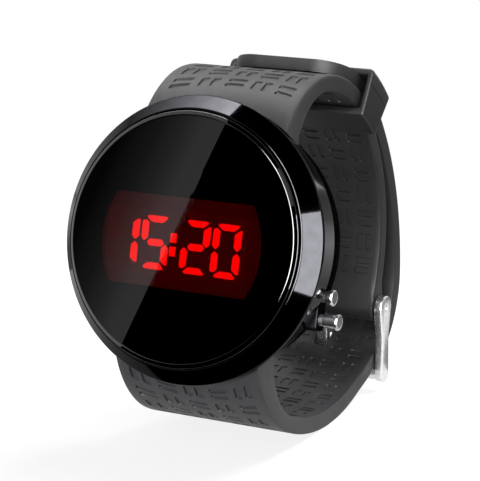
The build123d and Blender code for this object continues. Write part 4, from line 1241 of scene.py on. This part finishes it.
def root_cuts(side):
    """Slots for the lugs and the bore for the spring bar in a strap's end."""
    bar = (LUG_BAR[0], side * LUG_BAR[1])
    root = (LUG_ROOT[0], side * LUG_ROOT[1])
    mouth = (LUG_BAR[0] + 3.0, side * LUG_BAR[1])
    slot = [(bar, 1.3), (root, 1.4), (mouth, 1.3)]
    starts = [low - LUG_CLEAR for low in LUG_STARTS]
    tools = [hull_prism(slot, low, low + LUG_THICK + 2 * LUG_CLEAR, 32) for low in starts]
    return [*tools, disc_prism(bar, BAR_BORE, -8.2, 8.2, 32)]


eye_side = on_circle(buckle_bar, eye_radius, buckle_angle - 90.0)
notch = hull_prism([(buckle_bar, 1.7), (eye_side, 2.85)], -NOTCH_HALF, NOTCH_HALF)
eye_bore = disc_prism(buckle_bar, BAR_BORE, -HALF_SHEET, HALF_SHEET, 32)
upper_sheet = strap_sheet(upper_rows, upper_bar, lambda column, row: False, False)
upper_sheet = carried(upper_sheet, upper_zones, 1, lambda point, distance: half_width(point, 1))
upper_sheet = worked(upper_sheet, "DIFFERENCE", [*root_cuts(1), notch, eye_bore])
hand_in(upper_sheet, "strap_upper_half", "case", strap_silicone, "strap_rubber", "upper_strap")

# %% [markdown]
# ## Lower strap
# The other half runs under the wrist, through the buckle and up behind the first half to its free
# tip. Its pin holes stand one every seven millimetres, so the weave here has two motifs to a hole,
# and its rows are laid out from the holes. The last stretch is plain, with two lengthwise grooves.

# %% Lower strap's rails
lower_root = 14.0
inner_bend, outer_bend, lower_leave = 10.1, 18.0, -99.6
lower_corner = on_circle(lower_centre, lower_radius - inner_bend, lower_leave)
lower_shoulder = on_circle(lower_centre, lower_radius + THICKNESS - outer_bend, lower_leave)
tail_arcs = (
    (lower_centre, lower_radius, lower_leave, bend_start),
    (bend_centre, bend_radius, bend_start, bend_end),
    (sweep_centre, sweep_radius, bend_end, tail_join),
    (loop_centre, tail_radius, tail_join, tail_tip),
)
lower_zones = [
    (
        0.0, lower_root,
        [arc(lower_shoulder, outer_bend, -168.0, lower_leave)],
        [arc(lower_corner, inner_bend, -170.6, lower_leave)],
    )
]
for centre, radius, start, end in tail_arcs:
    low = lower_zones[-1][1]
    length = math.radians(end - start) * (radius + THICKNESS / 2)
    outer, inner = arc(centre, radius + THICKNESS, start, end), arc(centre, radius, start, end)
    lower_zones.append((low, low + length, [outer], [inner]))
bend_at, tail_length = lower_zones[1][1], lower_zones[-1][1]
print("lower half", round(tail_length, 2), "bend starts at", round(bend_at, 2))

# %% Where the tongue crosses the strap
TONGUE_OVER = 1.85
bar_to_crossbar = (crossbar - buckle_bar).length
tongue_heading = angle_of(buckle_bar, crossbar) + math.degrees(math.asin(TONGUE_OVER / bar_to_crossbar))


def tongue_crossing():
    """Distance along the bend at which the tongue crosses the strap's middle line."""
    step = on_circle((0.0, 0.0), 1.0, tongue_heading)
    start = buckle_bar - bend_centre
    middle = bend_radius + THICKNESS / 2
    along = start.dot(step)
    reach = math.sqrt(along**2 + middle**2 - start.length_squared) - along
    turned_by = angle_of(bend_centre, buckle_bar + step * reach) - bend_start
    return math.radians(turned_by) * middle


first_hole = bend_at + tongue_crossing() + 0.45
print("first hole at", round(first_hole, 2))

# %% Lower strap's rows
HOLES, HOLE_PITCH = 7, 7.0
LOWER_MOTIF = HOLE_PITCH / 2
PLAIN_TAIL, TIP_CORNER, PLAIN_ROW = 12.5, 5.5, 1.1
weave_start = first_hole - LOWER_MOTIF / 2
while weave_start > LOWER_MOTIF + 1.0:
    weave_start -= LOWER_MOTIF
lower_motifs = int((tail_length - PLAIN_TAIL - weave_start) / LOWER_MOTIF)
weave_end = weave_start + LOWER_MOTIF * lower_motifs
first_motif = round((first_hole - LOWER_MOTIF / 2 - weave_start) / LOWER_MOTIF)
hole_motifs = {first_motif + 2 * index for index in range(HOLES)}
lower_rows = [0.0]
for index in range(lower_motifs):
    lower_rows += [weave_start + LOWER_MOTIF * (index + share) for share in LOWER_SHARES]
lower_rows += [weave_end, weave_end + LOWER_SHARES[1] * LOWER_MOTIF]
while lower_rows[-1] < tail_length - TIP_CORNER - 1.2:
    lower_rows.append(lower_rows[-1] + PLAIN_ROW)
tip_turns = [math.radians(angle) for angle in range(90, -1, -10)]
lower_rows += [tail_length - TIP_CORNER * (1 - math.cos(turn)) for turn in tip_turns]
groove_end = tail_length - 3.4
groove_rows = (5 * lower_motifs + 2, len([row for row in lower_rows if row < groove_end]))
print("motifs", lower_motifs, "with holes", sorted(hole_motifs), "rows", len(lower_rows))

# %% Lower strap
TAIL_LIFT = 0.2


def lower_bar(column, row):
    across, cell_x, along, cell_y = motif_cell(column, row - 1)
    if groove_rows[0] <= row < groove_rows[1]:
        return (across, cell_x) in ((1, 1), (3, 3))
    in_hole_room = across == 2 and any(abs(along - hole) <= 1 for hole in hole_motifs)
    return 1 <= row <= 5 * lower_motifs and not in_hole_room and basket(across, cell_x, along, cell_y)


def lower_gap(column, row):
    across, cell_x, along, cell_y = motif_cell(column, row - 1)
    if across != 2 or not 1 <= cell_x <= 3:
        return False
    whole = along in hole_motifs
    before = along + 1 in hole_motifs and cell_y == 4
    after = along - 1 in hole_motifs and cell_y == 0
    return whole or before or after


def tail_width(point, distance):
    """Half width with the tip's rounded corners."""
    left = max(0.0, tail_length - distance)
    wide = half_width(point, -1)
    if left >= TIP_CORNER:
        return wide
    return wide - TIP_CORNER + math.sqrt(TIP_CORNER**2 - (TIP_CORNER - left) ** 2)


def tail_lift(distance):
    """The free end is a little thinner, which leaves a shadow between the layers."""
    share = held((distance - lower_zones[-1][0] + 2.0) / 12.0)
    return TAIL_LIFT * share * share * (3 - 2 * share)


lower_sheet = strap_sheet(lower_rows, lower_bar, lower_gap, True)
lower_sheet = carried(lower_sheet, lower_zones, -1, tail_width, tail_lift)
lower_sheet = worked(lower_sheet, "DIFFERENCE", root_cuts(-1))
hand_in(lower_sheet, "strap_lower_half", "case", strap_silicone, "strap_rubber", "lower_strap")

# %% [markdown]
# ## Keeper
# The loop round both layers is a moulded rubber band. Its section is a frame with soft corners: two
# wires, one inside the other, bridged to a face. Spinning that face a little way round the loop's
# centre gives the band its curve. Its ends' edges are rounded, and last a fine groove is cut along
# each of its two sides.

# %% Keeper's section
KEEPER_ANGLE, KEEPER_LONG = 64.0, 7.2
SIDE_WALL, OUTER_WALL, INNER_WALL = 1.0, 1.05, 1.25
keeper_turn = math.degrees(KEEPER_LONG / (2 * tail_radius))
keeper_start = KEEPER_ANGLE - keeper_turn
room_inner, room_outer = loop_radius - 0.15, tail_radius + THICKNESS + 0.15
widest_spot = on_circle(loop_centre, loop_radius, KEEPER_ANGLE + keeper_turn + 6.5)
keeper_room = half_width(widest_spot, 1) + 0.35
keeper_half = keeper_room + SIDE_WALL


def drawn_at(bm, corners, angle):
    """Points given by X and radius, in the plane through the loop's centre at an angle."""
    spots = [(x, on_circle(loop_centre, radius, angle)) for x, radius in corners]
    return [bm.verts.new((x, spot[0], spot[1])) for x, spot in spots]


def keeper_wire(bm, half, low, high, rounds):
    """Closed wire with soft corners at the keeper's low end."""
    corners = [(-half, low), (half, low), (half, high), (-half, high)]
    verts = drawn_at(bm, corners, keeper_start)
    for start, end in zip(verts, verts[1:] + verts[:1]):
        bm.edges.new((start, end))
    for vert, radius in zip(verts, rounds):
        rounded(bm, [vert], radius, 4, "VERTICES", False)


def round_the_loop(bm, degrees, steps):
    """Spins all that is drawn round the loop's centre."""
    spun(bm, (0.0, *loop_centre), (1.0, 0.0, 0.0), math.radians(degrees), steps)
    return bm


print("keeper's room", round(2 * keeper_room, 2), "mm by", round(room_outer - room_inner, 2))

# %% Keeper
GROOVE_ROUND, GROOVE_HALF, GROOVE_DEEP, GROOVE_OUT = 2.6, 0.13, 0.16, 0.05
keeper_shell = bmesh.new()
soft_corners, room_corners = (0.5, 0.5, 0.9, 0.9), (0.3, 0.3, 0.3, 0.3)
keeper_wire(keeper_shell, keeper_half, room_inner - INNER_WALL, room_outer + OUTER_WALL, soft_corners)
keeper_wire(keeper_shell, keeper_room, room_inner, room_outer, room_corners)
bmesh.ops.bridge_loops(keeper_shell, edges=keeper_shell.edges[:])
welded(round_the_loop(keeper_shell, 2 * keeper_turn, 10))
closed_edges = [edge for edge in keeper_shell.edges if edge.is_manifold]
keeper_ends = [edge for edge in closed_edges if edge.calc_face_angle(0.0) > 1.2]
rounded(keeper_shell, keeper_ends, 0.32, 3)
groove_radius = room_outer + OUTER_WALL - GROOVE_ROUND
grooves = []
for side in (1, -1):
    outside, inside = side * (keeper_half + GROOVE_OUT), side * (keeper_half - GROOVE_DEEP)
    groove = bmesh.new()
    corners = [(outside, groove_radius + share * GROOVE_HALF) for share in (-1, 1)]
    corners.append((inside, groove_radius))
    groove.faces.new(drawn_at(groove, corners, keeper_start - 1.0))
    grooves.append(round_the_loop(groove, 2 * keeper_turn + 2.0, 14))
keeper_shell = worked(keeper_shell, "DIFFERENCE", grooves)
hand_in(keeper_shell, "strap_keeper_band", "strap_keeper", keeper_silicone, "strap_rubber", "keeper")

# %% [markdown]
# ## Buckle
# The frame is steel: two side plates, thick round the bar and at the foot and waisted between, and a
# round crossbar. Each plate is two hulls round three discs, joined, and its rims are broken by a
# bevel. The tongue is a slim bar with a knuckle that turns on the spring bar.

# %% Buckle frame
PLATE_IN, PLATE_OUT = 10.35, 11.75
HEAD_RADIUS, WAIST_RADIUS, ROD_RADIUS = 2.05, 1.2, 1.1
waist = buckle_bar.lerp(crossbar, 0.42)


def plate(side):
    low, high = sorted((side * PLATE_IN, side * PLATE_OUT))
    upper = hull_prism([(buckle_bar, HEAD_RADIUS), (waist, WAIST_RADIUS)], low, high)
    foot = hull_prism([(waist, WAIST_RADIUS), (crossbar, foot_radius)], low, high)
    shape = broken_rims(worked(upper, "UNION", [foot]), 0.26)
    return worked(shape, "DIFFERENCE", [disc_prism(buckle_bar, 0.45, low - 1.0, high + 1.0, 32)])


crossbar_rod = disc_prism(crossbar, ROD_RADIUS, -PLATE_IN - 0.3, PLATE_IN + 0.3)
buckle_shell = worked(plate(-1), "UNION", [plate(1), crossbar_rod])
hand_in(buckle_shell, "buckle_frame_steel", "buckle", buckle_brushed, "buckle_steel", "buckle_frame")

# %% Buckle tongue
BLADE_RADIUS, KNUCKLE_RADIUS, TONGUE_HALF, TONGUE_PAST = 0.65, 1.45, 1.0, 1.3
tongue_tip = on_circle(buckle_bar, bar_to_crossbar + TONGUE_PAST, tongue_heading)
blade = hull_prism([(buckle_bar, BLADE_RADIUS), (tongue_tip, BLADE_RADIUS)], -TONGUE_HALF, TONGUE_HALF)
knuckle = disc_prism(buckle_bar, KNUCKLE_RADIUS, -TONGUE_HALF, TONGUE_HALF)
knuckle = broken_rims(knuckle, 0.15, 2, 1.3)
tongue_shell = worked(broken_rims(blade, 0.3, 3, 1.3), "UNION", [knuckle])
tongue_shell = worked(tongue_shell, "DIFFERENCE", [disc_prism(buckle_bar, BAR_BORE, -2.0, 2.0)])
hand_in(tongue_shell, "buckle_tongue_steel", "tongue", buckle_brushed, "buckle_steel", "buckle_tongue")

# %% [markdown]
# ## Camera, floor and lights
# The camera stands where the photograph was taken from, worked out from the rim, the strap and the
# buckle. The floor is a pale disc that fades to white, and soft lamps give a plain level.

# %% Camera
camera_data = bpy.data.cameras.new("photo_camera")
camera_data.lens = 155.718
camera_data.sensor_width = 36.0
camera_data.clip_start = 0.01
camera = bpy.data.objects.new("photo_camera", camera_data)
bpy.context.scene.collection.objects.link(camera)
view_right = Vector((0.884511, 0.466520, 0.0000905))
view_up = Vector((-0.112151, 0.212447, 0.970715))
view_back = Vector((0.452839, -0.858619, 0.240232))
turn = Matrix((view_right, view_up, view_back)).transposed().to_4x4()
camera_spot = Vector((0.142102, -0.276973, 0.105537))
camera.matrix_world = Matrix.Translation(camera_spot) @ turn
bpy.context.scene.camera = camera
print("camera at", camera_spot[:])

# %% Floor
FLOOR_RADIUS = 3.0
PALE_WITHIN, WHITE_FROM = 0.09, 0.2


def floor_finish():
    """Pale and shadowed near the watch, and white further out for the camera and in mirrors."""
    finish = Finish("pale_floor")
    seen = finish.seen()
    lit = finish.node("ShaderNodeBsdfDiffuse", {}, {"Color": (0.33, 0.33, 0.33, 1.0)})
    fill = finish.node("ShaderNodeEmission", {}, {"Color": 0.80 * seen, "Strength": 1.0})
    near = finish.node("ShaderNodeAddShader", {}, {0: lit, 1: fill})
    white = finish.node("ShaderNodeEmission", {}, {"Color": 0.26 + 0.74 * seen, "Strength": 1.0})
    across, along, _ = finish.axes(finish.place)
    stops = [(PALE_WITHIN, (0.0, 0.0, 0.0, 1.0)), (WHITE_FROM, WHITE)]
    ramp = finish.node("ShaderNodeValToRGB", {"stops": stops}, {0: hypotenuse(across, along)})
    return finish.closed(finish.node("ShaderNodeMixShader", {}, {0: ramp, 1: near, 2: white}))


floor_shell = bmesh.new()
bmesh.ops.create_circle(floor_shell, cap_ends=True, segments=96, radius=FLOOR_RADIUS)
floor = object_from(floor_shell, "floor", floor_finish())
print("floor", floor.data.materials[0].name)


# %% Studio white
def studio_white(level):
    """White behind the watch for the camera and in mirrors, and a plain soft level on the watch."""
    world = bpy.data.worlds.new("studio")
    bpy.context.scene.world = world
    world.use_nodes = True
    studio = Network(world.node_tree)
    levels = {"Value": studio.seen(), "To Min": level, "To Max": 1.0}
    strength = studio.node("ShaderNodeMapRange", {}, levels)
    glow = studio.node("ShaderNodeBackground", {}, {"Color": WHITE, "Strength": strength})
    studio.close(glow, "ShaderNodeOutputWorld")


studio_white(0.25)
bpy.context.scene.view_settings.view_transform = "Standard"
print("view transform", bpy.context.scene.view_settings.view_transform)

# %% Lamps
WATCH_MIDDLE = Vector((0.0, 0.0, 0.03))


def soft_lamp(name, spot, size, watts):
    """A square lamp that faces the watch and that no mirror shows."""
    data = bpy.data.lights.new(name, "AREA")
    data.shape = "SQUARE"
    data.size = size
    data.energy = watts
    lamp = bpy.data.objects.new(name, data)
    bpy.context.scene.collection.objects.link(lamp)
    lamp.location = spot
    lamp.rotation_euler = (WATCH_MIDDLE - Vector(spot)).to_track_quat("-Z", "Y").to_euler()
    lamp.visible_glossy = lamp.visible_transmission = False


soft_lamp("top_lamp", (0.25, 0.42, 0.72), 0.5, 8.0)
soft_lamp("front_lamp", (-0.12, -0.72, 0.04), 0.25, 10.0)

# %% [markdown]
# ## Cards and flags for the mirrors
# Black glass and plated metal have no look of their own: they show what stands round them. A
# photographer puts up pale cards and black flags that stay out of the picture. These ones are seen
# only in mirrors and through glass, so they shape the gloss and light nothing. The one in front of
# the glass ends along a slant, and that end is the slanting edge of the shine on the glass.

# %% Where the shine on the glass ends
glass_spot = case_place @ Vector((0.0, crystal_front, 0.0))
mirror_eye = camera_spot - 2 * (camera_spot - glass_spot).dot(glass_faces) * glass_faces
gloss_ends = [case_place @ Vector((x, crystal_front, z)) for x, z in ((5.26, 17.31), (-7.59, -15.93))]
gloss_side = (gloss_ends[1] - mirror_eye).cross(gloss_ends[0] - mirror_eye).normalized()
gloss_heading = (glass_spot - mirror_eye).normalized()
print("gloss side", gloss_side[:], "heading", gloss_heading[:])


# %% Glows of the cards
def card_glow(name, strength, spread=None):
    """A white glow. Spread is a rule that gives its share of the strength over the card."""
    finish = Finish(name)
    colour = WHITE if spread is None else spread(finish)
    return finish.closed(finish.node("ShaderNodeEmission", {}, {"Color": colour, "Strength": strength}))


def stepped(finish, wire, *stops):
    """A grey ramp over a wire, from (position, level) pairs."""
    greys = [(position, (level, level, level, 1.0)) for position, level in stops]
    return finish.node("ShaderNodeValToRGB", {"stops": greys}, {0: wire})


def slanted(reach):
    """Black on one side of the slant, and on the other a glow that fades away from it."""
    def rule(finish):
        sockets = {0: finish.place, 1: gloss_side}
        aside = finish.node("ShaderNodeVectorMath", {"operation": "DOT_PRODUCT"}, sockets, "Value")
        aside = (aside - mirror_eye.dot(gloss_side)) * (1.0 / reach)
        fade = stepped(finish, aside, (0.0, 1.0), (0.2, 0.95), (0.42, 0.54), (0.64, 0.27), (1.0, 0.05))
        return aside.over(0.0) * fade
    return rule


def fading_left(start, length):
    """A glow that falls off to the left of a start, by a factor e for each length."""
    def rule(finish):
        across, _, _ = finish.axes(finish.place)
        return math.e ** ((across - start) * (1.0 / length))
    return rule


def rear_bump(finish):
    """Grey behind the watch, with one paler strip across."""
    _, along, _ = finish.axes(finish.place)
    stops = ((0.14, 0.2), (0.19, 0.4), (0.31, 0.85), (0.43, 0.55), (0.53, 0.25), (0.8, 0.14))
    return stepped(finish, along * 2.5, *stops)


print("glows of cards are white, and fade by a rule where one is given")


# %% Cards
def card(name, finish, *corners):
    """A flat card between four corners. Only mirrors and glass see it."""
    shell = bmesh.new()
    shell.faces.new([shell.verts.new(corner) for corner in corners])
    made = object_from(shell, name, finish)
    for ray in ("camera", "diffuse", "volume_scatter", "shadow"):
        setattr(made, "visible_" + ray, False)


def level_card(name, finish, across, along, height):
    """A card that lies level, between two values of X and two of Y."""
    (left, right), (near, far) = across, along
    corners = ((left, near), (right, near), (right, far), (left, far))
    card(name, finish, *[(x, y, height) for x, y in corners])


def upright_card(name, finish, start, end, height):
    """A card that stands on the floor between two spots."""
    card(name, finish, (*start, 0.0), (*end, 0.0), (*end, height), (*start, height))


print("cards are unseen by the camera and light nothing")

# %% Card in front of the glass
GLASS_CARD, GLASS_CARD_HALF, GLOSS_FADE = 0.38, 0.35, 0.0433
card_spot = glass_spot + gloss_heading * GLASS_CARD
slanted_glow = card_glow("slanted_glow", 0.66, slanted((card_spot - mirror_eye).length * GLOSS_FADE))
aside = gloss_heading.cross((0, 0, 1)).normalized() * GLASS_CARD_HALF
upward = aside.cross(gloss_heading).normalized() * GLASS_CARD_HALF
sides = ((-1, -1), (1, -1), (1, 1), (-1, 1))
card("glass_card", slanted_glow, *[card_spot + aside * x + upward * y for x, y in sides])
print("glass card at", card_spot[:])

# %% Cards and flags for the bezel
TOP_LEFT, TOP_HIGH = -0.0785, 0.46
black = card_glow("black_flag", 0.0)
card(
    "bezel_patch", card_glow("patch_glow", 24.0),
    (0.055, -0.049, 0.0166), (0.055, -0.019, 0.0106), (0.055, -0.019, 0.0554), (0.055, -0.049, 0.0629),
)
card(
    "top_card", card_glow("top_glow", 26.0, fading_left(TOP_LEFT, 0.27)),
    (TOP_LEFT, 0.03, TOP_HIGH), (TOP_LEFT, 0.17, TOP_HIGH),
    (-1.3, 0.82, TOP_HIGH), (-1.3, 0.68, TOP_HIGH),
)
level_card("top_flag", black, (TOP_LEFT, 0.75), (-0.25, 0.2), TOP_HIGH - MM)
upright_card("right_flag", black, (0.5, -1.2), (0.5, 0.0), 0.48)
upright_card("edge_card", card_glow("edge_glow", 40.0), (0.08, -0.48), (0.34, -0.48), 0.8)
print("the top card starts at X", TOP_LEFT, "and hangs at", TOP_HIGH)

# %% Cards and flags on the floor
ON_FLOOR = 0.0003
REAR_SPLIT = 0.022
rear_glow, rear_grey = card_glow("rear_glow", 1.3, rear_bump), card_glow("rear_grey", 0.12)
level_card("floor_flag", black, (-0.03, 0.5), (-0.9, -0.0265), ON_FLOOR)
level_card("rear_card", rear_glow, (-0.3, REAR_SPLIT), (0.03, 0.4), ON_FLOOR)
level_card("rear_flag", rear_grey, (REAR_SPLIT, 1.0), (0.08, 1.2), ON_FLOOR)
level_card("button_flag", rear_grey, (0.045, 1.0), (0.03, 0.08), ON_FLOOR)
